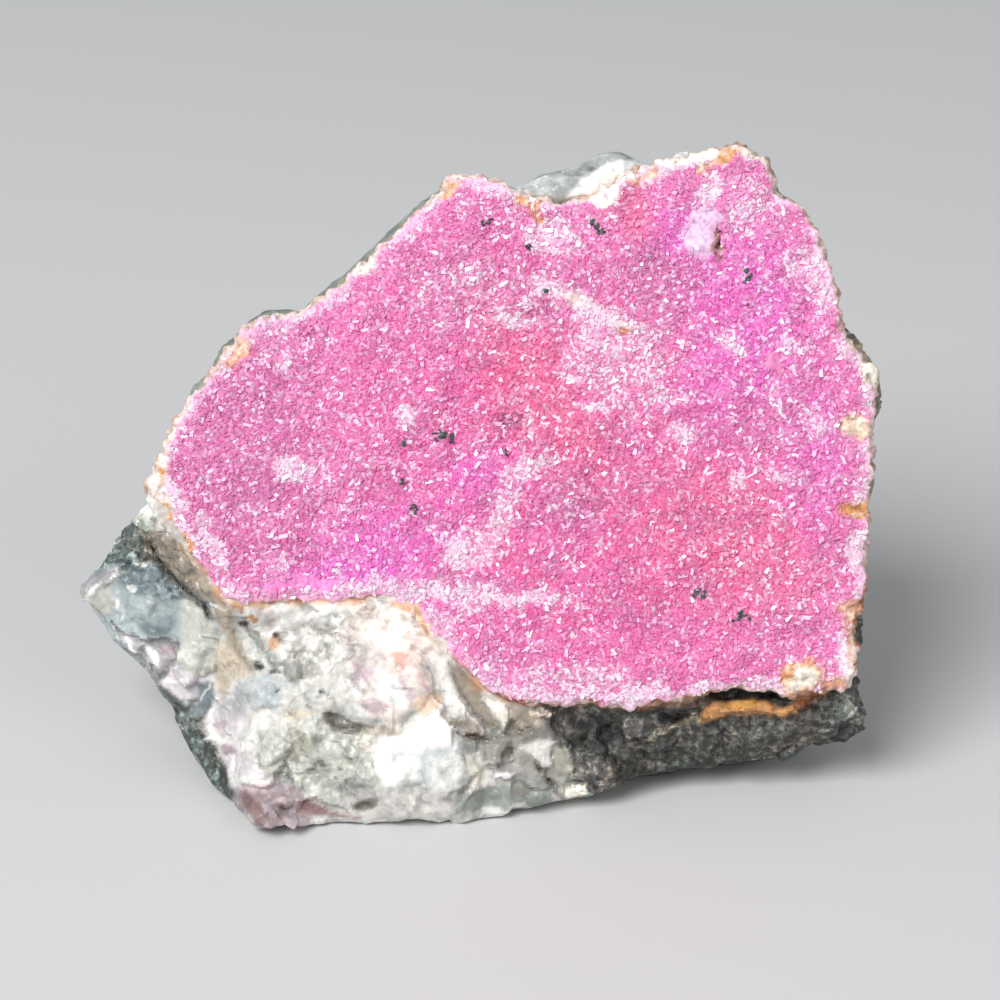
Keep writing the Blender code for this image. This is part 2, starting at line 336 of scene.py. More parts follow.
# Outline of the whole specimen as the eye sees it, from the tip at the left on over the top, in mm
OUTLINE = (
    (-47.8, -9.8), (-46.6, -8.8), (-45.7, -7.7), (-44.9, -6.3), (-44.3, -5.0), (-43.4, -3.6),
    (-42.3, -2.5), (-41.7, -1.8), (-41.8, -0.9), (-41.0, 0.2), (-40.5, 1.0), (-40.0, 2.4),
    (-39.4, 3.6), (-38.9, 5.0), (-38.4, 6.6), (-37.6, 8.4), (-36.8, 9.9), (-35.9, 11.0),
    (-35.2, 12.4), (-34.4, 13.4), (-33.3, 14.7), (-32.3, 16.3), (-31.6, 17.3), (-30.4, 18.1),
    (-29.6, 19.2), (-28.4, 20.3), (-27.2, 21.2), (-25.2, 21.5), (-23.4, 21.3), (-22.2, 22.0),
    (-20.0, 23.7), (-18.4, 25.1), (-16.4, 26.9), (-14.8, 28.4), (-13.0, 29.9), (-11.4, 31.5),
    (-10.0, 32.6), (-8.6, 33.7), (-7.2, 34.8), (-6.6, 35.9), (-6.0, 36.8), (-5.2, 37.0),
    (-4.4, 36.8), (-3.2, 36.8), (-2.0, 37.1), (-1.0, 36.8), (0.2, 36.2), (1.2, 35.7), (2.2, 35.5),
    (2.8, 36.2), (3.6, 37.0), (5.0, 37.4), (7.4, 37.6), (9.4, 38.6), (11.0, 39.6), (12.4, 39.9),
    (14.0, 39.3), (15.6, 38.6), (16.6, 38.2), (18.2, 38.7), (19.8, 38.7), (21.0, 39.2),
    (22.0, 39.8), (24.0, 40.2), (26.0, 40.4), (28.4, 40.0), (29.8, 39.4), (30.8, 38.6),
    (31.4, 37.6), (31.5, 36.4), (31.4, 35.2), (32.0, 34.6), (33.6, 33.8), (35.0, 32.4),
    (36.0, 31.4), (36.6, 30.0), (37.0, 27.8), (37.8, 26.0), (38.4, 24.0), (38.8, 21.6),
    (39.0, 20.0), (39.6, 18.8), (40.2, 17.6), (41.2, 16.9), (42.4, 16.2), (43.0, 14.6),
    (43.2, 13.6), (42.9, 12.2), (42.8, 11.0), (42.8, 8.0), (42.6, 4.0), (42.4, 1.6), (42.2, 0.0),
    (42.2, -1.4), (42.6, -2.4), (42.5, -3.6), (41.8, -4.6), (41.9, -6.4), (41.8, -11.0),
    (42.0, -12.4), (41.4, -15.6), (41.0, -17.4), (40.9, -19.6), (40.2, -20.8), (40.4, -22.4),
    (41.0, -23.0), (41.8, -24.0), (42.1, -25.2), (42.4, -25.9), (42.0, -26.6), (41.0, -26.9),
    (39.6, -27.3), (38.4, -27.7), (37.2, -28.3), (36.4, -29.0), (35.4, -29.3), (32.6, -29.6),
    (30.0, -29.6), (28.0, -30.0), (25.0, -30.7), (22.0, -31.1), (19.0, -31.4), (16.0, -31.9),
    (14.3, -32.2), (13.4, -32.9), (12.2, -33.5), (10.0, -34.2), (8.6, -34.6), (7.6, -34.6),
    (6.8, -34.9), (6.0, -34.8), (4.0, -35.6), (2.0, -35.9), (0.0, -36.4), (-2.0, -36.8),
    (-4.0, -37.1), (-6.4, -37.2), (-7.4, -36.8), (-10.0, -36.6), (-12.4, -37.2), (-14.4, -37.2),
    (-16.2, -37.7), (-18.4, -37.3), (-20.6, -37.4), (-22.4, -37.9), (-24.0, -37.7), (-25.4, -37.7),
    (-27.0, -38.0), (-28.6, -37.2), (-29.2, -36.2), (-30.0, -35.4), (-32.0, -34.0), (-33.6, -32.0),
    (-34.6, -30.4), (-35.4, -29.0), (-36.4, -27.0), (-37.0, -25.6), (-36.9, -24.4), (-37.4, -23.4),
    (-38.6, -22.2), (-39.6, -20.6), (-40.6, -19.2), (-41.4, -18.0), (-42.8, -16.9), (-44.0, -15.6),
    (-45.0, -14.2), (-46.0, -13.0), (-47.2, -11.8), (-47.6, -11.0),
)

# Edges drawn out to it: across, up, half length, half width, turn, and how far across, up and out
ROCK_PULLS = {
    "tip": (-46.6, -10.4, 4.0, 3.0, 0, (-2.0, 0.2, 0.0)),
    "foot": (-27.0, -37.6, 9.0, 7.0, 0, (0.0, -2.4, 4.4)),
    "flank": (-34.6, -29.8, 7.0, 4.4, -57, (-1.8, -1.1, 0.0)),
    "right_tip": (42.0, -25.0, 3.4, 2.2, 0, (1.8, 0.2, 0.0)),
    "low_edge": (25.0, -29.4, 18.0, 3.8, 8, (0.3, -2.2, 0.0)),
}
DRUSE_PULLS = {
    "right": (42.0, 2.0, 24.0, 3.0, 90, (1.4, 0.0, 0.0)),
    "right_corner": (39.4, -18.6, 4.4, 3.6, 0, (1.8, -0.6, 0.0)),
    "knob": (42.0, 14.8, 2.6, 2.2, 0, (1.6, 0.3, 0.3)),
    "right_top": (36.5, 29.5, 11.0, 2.6, -60, (0.9, 0.4, 0.0)),
    "shoulder": (39.8, 18.4, 3.6, 2.2, -55, (1.2, 0.7, 0.0)),
    "top": (24.0, 39.0, 9.0, 2.2, 5, (0.0, 1.2, 0.0)),
    "spar": (12.6, 36.8, 3.6, 1.8, 25, (-0.6, 1.1, 0.0)),
    "top_left": (-3.5, 36.0, 6.0, 2.0, 0, (0.0, 1.2, 0.0)),
    "left": (-38.2, 5.0, 10.0, 2.2, 68, (-1.2, 0.3, 0.0)),
}

# Forms on the front of the rock: across, up, half length, half width, turn, height, edge softness
ROCK_FORMS = {
    "groove_top": (-40.2, -5.2, 2.6, 0.9, -60, -1.6, 0.9),
    "groove": (-37.2, -9.0, 4.6, 0.7, -48, -1.8, 0.9),
    "groove_end": (-33.2, -12.9, 2.6, 0.45, -55, -1.4, 0.9),
    "taupe_band": (-36.0, -7.6, 6.0, 1.6, -50, 0.7, 0.7),
    "round_lump": (-31.7, -13.3, 1.2, 1.8, 20, 0.8, 0.9),
    "flutes": (-28.2, -17.2, 3.8, 1.7, -54, -0.7, 0.4),
    "white_flute": (-28.4, -17.0, 2.9, 0.45, -56, 0.6, 1.0),
    "grey_lump": (-23.4, -19.6, 1.3, 1.4, 0, 0.7, 0.9),
    "pale_lump": (-21.5, -19.3, 1.1, 1.1, 0, 0.6, 0.9),
    "clear_lens": (-27.6, -22.0, 2.7, 1.9, 0, 0.5, 0.9),
    "shell": (-13.8, -21.4, 6.2, 5.0, 14, 0.9, 0.3),
    "crescent": (-17.4, -25.6, 3.2, 0.9, -14, -1.3, 0.5),
    "bright_knob": (-9.8, -29.8, 5.0, 3.2, 0, 1.0, 0.8),
    "low_hollow": (-15.4, -35.0, 2.2, 0.8, 8, -0.9, 0.8),
    "foot_ledge": (-28.4, -30.8, 3.0, 2.2, -20, 0.8, 0.2),
    "foot_lobe": (-25.0, -34.4, 1.4, 1.0, 0, 1.0, 0.7),
    "foot_lobe_left": (-26.7, -35.3, 0.7, 0.9, 0, 0.8, 0.8),
    "foot_step": (-23.2, -36.9, 1.7, 1.0, -10, 0.9, 0.5),
    "seam": (-20.0, -35.6, 4.0, 0.8, -14, -0.5, 0.6),
    "tip_crest": (-45.3, -9.4, 2.8, 0.4, 38, 0.6, 1.0),
    "flint_wedge": (0.6, -28.8, 1.0, 0.7, 50, -0.6, 0.4),
    "diagonal_crack": (5.4, -32.0, 3.0, 0.4, -48, -0.7, 0.9),
    "recess": (28.4, -22.3, 5.6, 0.9, -3, -1.7, 0.4),
    "orange_shelf": (28.4, -24.0, 6.0, 0.8, -2, 0.8, 0.6),
    "left_recess": (19.6, -24.8, 1.8, 0.8, -10, -0.9, 0.5),
}


def work_forms(rows, facing, forms):
    """Raises and sinks the forms on the front, out of the druse's plane."""
    seen = as_seen(rows) + warp_at(rows, 3.0)[:, :2] * 0.6 + warp_at(rows, 1.0)[:, :2] * 0.2
    front = smooth_step(0.0, 0.3, facing[:, 2])
    for *ellipse, height, softness in forms.values():
        rise = smooth_step(0, softness, 1 - in_ellipse(seen, *ellipse))
        rows[:, 2] += height * rise * front


def nearest_on(seen, corners):
    """Where an outline comes nearest to each place, and how far that is: below 0 inside it."""
    gap = np.full(len(seen), np.inf)
    nearest = np.zeros((len(seen), 2))
    inside = np.zeros(len(seen), bool)
    for start, end in zip(corners, corners[1:] + corners[:1]):
        side = np.subtract(end, start)
        away = seen - start
        along = np.clip(away @ side / (side @ side), 0, 1)
        foot = start + along[:, None] * side
        reach = np.linalg.norm(seen - foot, axis=1)
        closer = reach < gap
        gap[closer] = reach[closer]
        nearest[closer] = foot[closer]
        crosses = (seen[:, 1] > start[1]) != (seen[:, 1] > end[1])
        crossing = start[0] + away[:, 1] * side[0] / (side[1] or 1)
        inside ^= crosses & (seen[:, 0] < crossing)
    return nearest, np.where(inside, -gap, gap)


def outline_gap(seen, corners):
    """How far each place is outside an outline: below 0 inside it."""
    return nearest_on(seen, corners)[1]


def colour_share(seen, corners):
    """1 inside an outline and 0 outside it; round a small one the colour's border is narrower."""
    border = min(COLOUR_BORDER, np.ptp(corners, axis=0).max() * 0.08)
    return smooth_step(border, -border, outline_gap(seen, corners))


def spotted(colours, seen, spots):
    """The colours with each spot or shard over them, inside its own outline."""
    for paint, *_, corners in spots.values():
        colours = tinted(colours, paint, colour_share(seen, corners))
    return colours


def fit_outline(rows, pulls, inset):
    """Draws the edges out, and brings what then stands out past the outline back inside it."""
    seen = as_seen(rows)
    for *ellipse, way in pulls.values():
        share = smooth_step(0, 0.8, 1 - in_ellipse(seen, *ellipse))
        rows += share[:, None] * np.array(way)
    seen = as_seen(rows)
    nearest, gap = nearest_on(seen, OUTLINE)
    outside = (gap > -inset) & (np.abs(gap) > 0.001)
    inward = (nearest - seen)[outside] / gap[outside, None]
    rows[outside, :2] += inward * (gap[outside, None] + inset)


def ragged(rows):
    """The places as seen, shifted a little by noise, so that straight outlines come out ragged."""
    seen = as_seen(rows)
    flat = np.column_stack((seen, np.zeros(len(seen))))
    return seen + warp_at(flat, 1.5)[:, :2] * 0.5 + warp_at(flat, 0.6)[:, :2] * 0.2


def break_flat(rows, facing, free):
    """Brings each flat shard of the front to a plane of its own, with a step round it."""
    seen = ragged(rows)
    front = facing[:, 2] > 0.05
    flat = np.zeros(len(rows))
    for _, lie, corners in ROCK_SHARDS.values():
        if lie is None:
            continue
        tilt_across, tilt_up, lift = lie
        across, up = np.mean(corners, axis=0)
        gap = outline_gap(seen, corners)
        inside = (gap < SHARD_BORDER) & front
        level = np.median(rows[(gap < 0) & front, 2]) + lift
        plane = level - (rows[:, 0] - across) * tilt_across - (rows[:, 1] - up) * tilt_up
        share = (smooth_step(SHARD_BORDER, -SHARD_BORDER, gap) * free)[inside]
        rows[inside, 2] += np.clip(plane[inside] - rows[inside, 2], -0.9, 0.6) * share
        flat[inside] = np.maximum(flat[inside], share)
    return flat


def facets(rows, size, shift):
    """The facets that each place lies nearest and next nearest to: middles in mm, chances, gaps."""
    bent = rows + warp_at(rows, size * 0.8) * size * 0.2
    found = [noise.voronoi(Vector(row) / size + Vector((shift,) * 3)) for row in bent]
    gaps = np.array([distances[:2] for distances, _ in found]) * size
    seeds = [points[:2] for _, points in found]
    chances = np.array([[noise.cell_vector(seed * 97) for seed in pair] for pair in seeds])
    return (np.array(seeds) - shift) * size, chances * 2 - 1, gaps


def facet_height(rows, size, shift, step, tilt):
    """Height of a broken face: each facet lies at a level of its own and leans its own way."""
    middles, chances, gaps = facets(rows, size, shift)
    lean = ((rows[:, None] - middles) * chances[:, :, (1, 2, 0)]).sum(axis=2)
    heights = chances[:, :, 0] * step + lean * tilt
    share = 0.5 + 0.5 * np.minimum((gaps[:, 1] - gaps[:, 0]) / FACET_BORDER, 1)
    return heights[:, 0] * share + heights[:, 1] * (1 - share)


def scoop(rows, facing, chance, count, radii, depths, free):
    """Takes conchoidal flakes off: what lies inside a ball moves out to the ball's surface."""
    picks = [chance.randrange(len(rows)) for _ in range(count)]
    for pick in picks:
        radius = chance.uniform(*radii)
        depth = chance.uniform(*depths)
        tilt = np.array([chance.uniform(-0.35, 0.35) for _ in range(3)])
        out = facing[pick] + tilt
        out /= np.linalg.norm(out)
        middle = rows[pick] + out * (radius - depth)
        away = rows - middle
        reach = np.linalg.norm(away, axis=1)
        inside = reach < radius
        moved = middle + away[inside] / reach[inside, None] * radius
        share = free[inside, None]
        rows[inside] += (moved - rows[inside]) * share


# Colours of the rock, as its parts look in soft daylight; some of them also paint shade in hollows,
# recesses, folds and under ledges
WHITE_QUARTZ = "#f8f8f5"
MILKY_QUARTZ = "#d6d4d0"
PEARLY_QUARTZ = "#e8e7e3"
PALE_GREY_QUARTZ = "#a6abab"
SMOKY_QUARTZ = "#b2b1ac"
ASHY_QUARTZ_AND_SHADE = "#a19f9a"
BLUE_QUARTZ = "#a3adb0"
SLATE_QUARTZ = "#7a868a"
CLEAR_QUARTZ = "#bec3c5"
LILAC_QUARTZ = "#e2dbdf"
LILAC_GREY = "#aaa6ab"
BLUSH_QUARTZ = "#f2e3dc"
SMOKY_BLUSH = "#d2c9c6"
PEACH_QUARTZ = "#e5cab5"
SALMON_QUARTZ = "#dfb2a6"
CREAM_QUARTZ = "#e8e2d6"
TAN_QUARTZ = "#d4c8b6"
OLIVE_QUARTZ = "#bebfb7"
KHAKI_QUARTZ = "#a9a89c"
PALE_TAUPE = "#b6aa9c"
TAUPE = "#9b9082"
FLINT_AND_SHADE = "#7f7b73"
DARK_FLINT = "#68645c"
BROWN = "#7c5c4c"
DARK_BROWN = "#4d2c25"
MAUVE = "#a8989c"
PALE_MAUVE = "#cdbcc2"
MAROON = "#8a7070"
GREEN_BLACK = "#3a3f3b"
GREEN_GREY = "#5f6765"
BLACK_DOLOSTONE_AND_SHADE = "#30302f"
DARK_DOLOSTONE = "#434340"
GREY_DOLOSTONE = "#5b5a58"
PALE_DOLOSTONE = "#74746e"
GREY_SLIVER = "#8f948f"
SLIVER_BROWN = "#a39280"
PEACH_STAIN = "#dcae8c"
OCHRE = "#d39a66"
GOLDEN = "#d99c48"
LIMONITE = "#c88f5a"
RUSTY = "#a1643f"

# Patches on the front of the rock: across, up, half length, half width, turn, strength, colour
ROCK_PATCHES = (
    (-15.0, -26.0, 26.0, 16.0, 0, 1.0, MILKY_QUARTZ),
    (22.0, -27.0, 17.5, 8.5, 8, 1.0, DARK_DOLOSTONE),
    (14.0, -28.0, 6.4, 3.6, 8, 0.7, BLACK_DOLOSTONE_AND_SHADE),
    (32.0, -27.0, 8.0, 3.0, 8, 0.6, GREY_DOLOSTONE),
    (-14.0, 27.0, 22.0, 6.0, 38, 1.0, GREY_SLIVER),
    (-34.0, 16.0, 6.0, 3.0, 50, 1.0, GREY_SLIVER),
    (20.0, 39.0, 7.0, 2.0, 10, 1.0, WHITE_QUARTZ),
    (35.0, 30.0, 10.0, 2.6, -60, 1.0, SLIVER_BROWN),
    (41.8, 8.0, 2.6, 16.0, 0, 1.0, SLIVER_BROWN),
    (41.0, -8.0, 2.0, 5.0, 0, 0.6, SLIVER_BROWN),
    (-39.5, -12.0, 9.0, 7.0, -40, 1.0, BLUE_QUARTZ),
    (-37.0, -19.0, 4.0, 2.4, -45, 1.0, LILAC_QUARTZ),
    (-31.0, -24.0, 3.0, 4.0, 0, 0.8, LILAC_QUARTZ),
    (-14.0, -14.6, 7.0, 2.6, 0, 0.9, BLUSH_QUARTZ),
    (-20.0, -29.0, 7.0, 5.0, 0, 1.0, OLIVE_QUARTZ),
    (-9.0, -35.0, 8.0, 2.2, 3, 1.0, MILKY_QUARTZ),
    (2.0, -29.0, 6.0, 4.0, -30, 1.0, ASHY_QUARTZ_AND_SHADE),
    (3.2, -26.2, 3.4, 1.7, -25, 0.9, FLINT_AND_SHADE),
    (1.0, -34.4, 6.0, 1.6, 6, 1.0, GREY_SLIVER),
    (-23.4, -13.6, 6.2, 2.0, 0, 1.0, WHITE_QUARTZ),
    (-26.4, -35.2, 4.4, 2.8, -8, 1.0, MAUVE),
    # The next, grey-green band is the underside of the left flank: partly the stone's colour, partly
    # painted shade
    (-35.4, -27.0, 8.0, 2.4, -60, 1.0, GREEN_GREY),
    (8.0, 37.5, 8.0, 3.4, 8, 1.0, PALE_GREY_QUARTZ),
)

# Shards of the broken front. Each has its colour, the tilt across, the tilt up and the lift of its
# plane where it broke flat, and its corners as the eye sees them, in mm
ROCK_SHARDS = {
    "dark_grainy_face": (GREEN_GREY, (-0.3, 0.3, 0.0), (
        (-42.0, -2.0), (-43.4, -3.4), (-44.6, -6.0), (-46.0, -8.0), (-44.2, -7.5), (-42.0, -6.5),
        (-40.8, -7.6), (-39.3, -6.2), (-39.2, -4.6), (-41.0, -3.4))),
    "block_face": (BLUE_QUARTZ, (-0.1, 0.0, 0.2), (
        (-46.8, -11.6), (-43.2, -8.1), (-42.0, -6.6), (-41.0, -7.4), (-38.8, -7.9), (-36.2, -10.3),
        (-34.0, -12.0), (-33.1, -13.8), (-31.8, -15.7), (-35.9, -16.0), (-37.2, -18.4),
        (-40.6, -19.2), (-43.2, -16.6), (-45.2, -14.2))),
    "block_top": (SLATE_QUARTZ, None, (
        (-43.3, -8.2), (-42.0, -6.8), (-41.0, -7.5), (-38.8, -8.0), (-37.6, -8.9), (-35.8, -10.6),
        (-36.6, -11.2), (-39.0, -11.4), (-41.6, -10.7), (-43.4, -9.8))),
    "block_left": (SMOKY_QUARTZ, None, (
        (-47.0, -11.2), (-44.6, -10.1), (-43.8, -11.6), (-44.6, -13.2), (-45.6, -13.4), (-46.6, -12.2))),
    "block_dark_band": (SLATE_QUARTZ, None, (
        (-41.4, -14.0), (-39.6, -14.4), (-37.6, -14.7), (-38.2, -15.6), (-40.4, -15.4))),
    "block_right": (OLIVE_QUARTZ, None, (
        (-36.1, -10.6), (-34.0, -12.1), (-33.1, -13.8), (-31.9, -15.6), (-34.2, -15.9), (-36.6, -16.0),
        (-36.5, -13.0))),
    "block_foot": (LILAC_GREY, (-0.3, -0.1, 0.1), (
        (-44.4, -14.0), (-42.4, -15.6), (-40.2, -16.2), (-38.0, -15.9), (-36.5, -16.3), (-36.9, -17.8),
        (-37.2, -19.4), (-40.0, -19.9), (-41.4, -18.1), (-43.2, -16.4))),
    "mauve_bits": (MAUVE, None, ((-39.0, -16.8), (-37.0, -16.6), (-36.8, -17.6), (-38.4, -17.9))),
    "tip_face": (LILAC_GREY, None, (
        (-47.9, -9.8), (-46.6, -8.9), (-45.0, -8.1), (-43.5, -7.6), (-43.9, -8.4), (-45.4, -9.5),
        (-46.8, -10.7), (-47.5, -11.2))),
    "white_crest": (WHITE_QUARTZ, None, (
        (-47.5, -10.9), (-46.2, -10.0), (-44.8, -8.9), (-43.4, -7.6), (-43.0, -8.1), (-44.0, -9.2),
        (-45.2, -10.0), (-46.9, -11.0), (-46.5, -12.3), (-47.2, -11.9))),
    "crackled_shard": (OLIVE_QUARTZ, (-0.25, 0.1, 0.3), (
        (-36.4, -16.2), (-34.0, -15.9), (-32.0, -15.8), (-32.4, -17.4), (-32.6, -19.4), (-34.0, -20.4),
        (-36.6, -19.4), (-37.0, -18.0))),
    "tan_shard": (TAN_QUARTZ, None, (
        (-32.8, -16.4), (-31.2, -15.9), (-30.2, -17.2), (-28.6, -19.2), (-27.9, -19.9), (-30.0, -20.4),
        (-31.0, -21.4), (-31.6, -23.4), (-32.5, -22.0), (-32.6, -19.0))),
    "pale_wedge": (LILAC_QUARTZ, None, (
        (-37.2, -19.8), (-36.0, -19.6), (-34.6, -20.6), (-35.0, -22.2), (-36.0, -23.4), (-37.6, -22.0),
        (-39.2, -20.6))),
    "slate_strip": (SLATE_QUARTZ, None, (
        (-34.4, -21.0), (-33.0, -20.8), (-32.7, -22.6), (-33.0, -24.0), (-34.2, -24.9), (-35.4, -24.6),
        (-34.6, -22.8))),
    # The under flank is grey-green stone darkened partly as painted shade, for it faces down; the flank
    # line is painted shade where the front turns under
    "under_flank": (GREEN_GREY, None, (
        (-37.0, -23.6), (-36.0, -24.6), (-34.4, -25.2), (-33.8, -27.0), (-33.2, -28.6), (-32.0, -30.4),
        (-31.2, -32.4), (-30.6, -34.2), (-30.0, -35.3), (-31.5, -34.6), (-33.8, -32.4), (-35.0, -30.2),
        (-36.4, -27.0))),
    "flank_shade_line": (GREEN_BLACK, None, (
        (-35.3, -25.0), (-34.0, -26.2), (-32.8, -28.2), (-31.6, -29.9), (-31.1, -31.8), (-30.5, -33.8),
        (-30.9, -33.8), (-31.8, -32.0), (-32.3, -30.4), (-33.6, -28.8), (-34.6, -27.0))),
    "white_chip": (WHITE_QUARTZ, (-0.2, 0.4, 0.4), (
        (-41.8, -0.9), (-41.0, 0.3), (-40.2, 1.2), (-39.3, 0.8), (-39.0, -1.4), (-39.6, -1.9),
        (-40.4, -1.5), (-41.4, -1.7))),
    "cream_ledge": (OLIVE_QUARTZ, (0.0, 0.3, 0.2), (
        (-41.2, -2.0), (-40.2, -1.9), (-38.6, -1.9), (-37.9, -3.3), (-39.0, -3.7), (-40.6, -3.4))),
    "cream_bits": (CREAM_QUARTZ, None, ((-39.2, -2.2), (-38.5, -2.3), (-38.5, -3.3), (-39.3, -3.1))),
    "taupe_shard": (TAUPE, (0.15, -0.1, 0.0), (
        (-40.2, -3.9), (-38.2, -3.5), (-36.8, -4.4), (-36.2, -5.4), (-35.2, -6.2), (-34.4, -7.8),
        (-33.0, -9.4), (-32.0, -10.9), (-31.0, -11.8), (-31.3, -12.6), (-32.6, -12.2), (-33.8, -11.6),
        (-35.4, -10.2), (-37.0, -9.2), (-38.4, -7.2), (-39.2, -5.6))),
    "taupe_edge": (PALE_TAUPE, None, (
        (-35.4, -6.2), (-34.4, -7.8), (-33.0, -9.4), (-32.2, -10.5), (-32.9, -10.6), (-34.2, -9.4),
        (-35.6, -7.8))),
    "groove_shade": (DARK_FLINT, None, (
        (-41.4, -3.6), (-40.4, -3.7), (-39.4, -4.8), (-39.0, -6.2), (-38.0, -7.6), (-36.6, -9.2),
        (-35.0, -10.6), (-33.6, -12.2), (-32.7, -13.8), (-33.1, -13.8), (-34.3, -12.2), (-36.3, -10.6),
        (-38.4, -8.4), (-40.2, -7.2), (-41.6, -6.5), (-40.8, -5.4))),
    "round_lump": (PALE_TAUPE, None, (
        (-33.0, -12.3), (-32.4, -11.8), (-31.2, -12.0), (-30.6, -12.8), (-30.4, -14.2), (-31.0, -15.4),
        (-31.9, -14.8), (-32.7, -13.6))),
    "lump_rim": (MILKY_QUARTZ, None, (
        (-33.2, -12.4), (-32.4, -11.7), (-32.2, -12.1), (-32.7, -12.9), (-32.4, -13.8), (-32.9, -13.4))),
    "left_flute": (TAUPE, None, (
        (-31.3, -15.4), (-30.4, -14.6), (-29.8, -16.2), (-28.4, -18.4), (-27.5, -19.4), (-28.6, -19.5),
        (-30.0, -18.1), (-31.0, -16.7))),
    "grey_flute": (GREY_SLIVER, None, (
        (-29.4, -14.6), (-28.6, -14.9), (-27.4, -16.6), (-26.4, -18.2), (-25.3, -19.5), (-26.0, -19.7),
        (-27.0, -18.0), (-28.2, -16.4))),
    "white_flute": (PEARLY_QUARTZ, None, (
        (-30.0, -14.3), (-29.3, -14.8), (-28.2, -16.2), (-27.4, -17.6), (-26.7, -18.6), (-27.2, -19.3),
        (-28.3, -18.2), (-29.2, -16.8))),
    "thin_flute": (SMOKY_QUARTZ, None, (
        (-28.4, -14.7), (-27.4, -15.0), (-26.6, -16.6), (-25.8, -17.8), (-25.6, -18.8), (-26.4, -17.8),
        (-27.4, -16.2))),
    "flute_pit": (BLACK_DOLOSTONE_AND_SHADE, None, (
        (-28.2, -18.1), (-27.6, -18.1), (-27.0, -19.3), (-27.3, -19.7), (-27.9, -19.0))),
    "brown_streak": (BROWN, None, (
        (-30.7, -11.9), (-29.8, -11.8), (-29.0, -12.6), (-29.5, -13.0), (-30.3, -12.6))),
    "brown_pit": (DARK_BROWN, None, (
        (-29.8, -13.9), (-29.2, -13.7), (-28.7, -14.3), (-29.2, -14.8), (-29.7, -14.5))),
    "rusty_bit": (LIMONITE, None, ((-29.0, -13.2), (-28.2, -13.0), (-27.5, -13.8), (-28.1, -14.5))),
    "taupe_bit": (SMOKY_BLUSH, None, (
        (-27.8, -12.7), (-26.2, -12.4), (-25.5, -13.4), (-25.9, -14.8), (-26.8, -15.3), (-27.4, -14.2))),
    "brown_bean": (DARK_BROWN, None, (
        (-26.1, -15.2), (-25.2, -14.9), (-24.4, -15.6), (-25.1, -16.2), (-25.8, -15.9))),
    "tan_bit": (PEACH_STAIN, None, (
        (-26.4, -15.9), (-25.4, -15.9), (-25.1, -16.6), (-25.9, -17.3), (-26.5, -16.8))),
    "white_field": (MILKY_QUARTZ, None, (
        (-24.6, -13.2), (-19.4, -14.0), (-18.2, -15.8), (-18.6, -18.6), (-17.4, -20.4), (-18.0, -22.4),
        (-20.4, -23.2), (-22.2, -22.2), (-22.6, -20.8), (-20.6, -20.2), (-20.8, -18.2), (-23.4, -17.9),
        (-25.4, -17.8), (-25.0, -14.8))),
    "smoky_bits": (SMOKY_QUARTZ, None, ((-20.2, -16.6), (-19.2, -16.2), (-18.8, -17.6), (-19.6, -18.4))),
    "grey_lump": (ASHY_QUARTZ_AND_SHADE, None, (
        (-24.4, -18.6), (-23.2, -18.3), (-22.4, -18.8), (-22.2, -20.2), (-23.2, -21.0), (-24.2, -20.8),
        (-24.9, -19.6))),
    "pale_lump": (SMOKY_QUARTZ, None, (
        (-22.3, -18.4), (-21.2, -18.3), (-20.5, -19.0), (-20.6, -20.0), (-21.6, -20.4), (-22.3, -20.0))),
    "clear_lens": (CLEAR_QUARTZ, None, (
        (-29.8, -20.9), (-28.0, -20.2), (-26.2, -20.3), (-25.2, -21.4), (-25.0, -22.8), (-26.0, -23.8),
        (-28.0, -23.6), (-29.6, -23.4), (-30.3, -22.2))),
    "white_streak": (PEARLY_QUARTZ, None, (
        (-28.4, -24.0), (-26.4, -24.2), (-26.8, -26.0), (-27.6, -27.0), (-27.6, -30.2), (-28.3, -31.0),
        (-28.8, -29.0), (-29.8, -26.6), (-28.9, -26.2))),
    "blush_shell": (BLUSH_QUARTZ, None, (
        (-17.6, -15.4), (-12.0, -14.4), (-8.6, -15.6), (-6.4, -18.4), (-6.0, -21.0), (-8.0, -22.0),
        (-10.0, -23.6), (-12.0, -25.8), (-15.0, -24.8), (-16.4, -22.6), (-17.6, -20.0), (-18.2, -17.0))),
    "smoky_blush": (SMOKY_BLUSH, None, (
        (-18.4, -15.8), (-16.4, -15.4), (-14.2, -16.4), (-13.2, -18.2), (-14.4, -19.2), (-16.4, -18.9),
        (-18.0, -18.4))),
    # The three folds of the shell are greyish quartz, partly painted shade where the folds turn away
    # from the light
    "left_fold": (SMOKY_QUARTZ, None, (
        (-18.0, -19.2), (-17.2, -19.4), (-16.0, -21.0), (-15.4, -22.4), (-16.2, -22.6), (-17.4, -21.0))),
    "middle_fold": (SMOKY_BLUSH, None, (
        (-15.6, -19.8), (-14.8, -19.6), (-13.8, -21.2), (-13.4, -22.6), (-14.4, -22.8), (-15.2, -21.4))),
    "right_fold": (PALE_MAUVE, None, (
        (-11.6, -19.6), (-10.8, -20.4), (-9.8, -22.4), (-9.8, -23.6), (-10.8, -23.2), (-11.4, -21.4))),
    "shell_shade": (MILKY_QUARTZ, None, (
        (-8.8, -17.4), (-7.6, -18.2), (-6.8, -20.2), (-6.8, -21.6), (-7.8, -21.6), (-8.6, -19.6))),
    "salmon_smudge": (SALMON_QUARTZ, None, (
        (-12.4, -17.6), (-11.2, -17.2), (-10.6, -18.2), (-11.2, -19.6), (-12.2, -18.6))),
    "mauve_smudge": (PALE_MAUVE, None, (
        (-16.8, -18.6), (-14.6, -19.0), (-14.2, -20.2), (-15.6, -20.6), (-16.4, -21.2), (-17.0, -19.8))),
    "white_blade": (WHITE_QUARTZ, (0.4, 0.2, 0.2), (
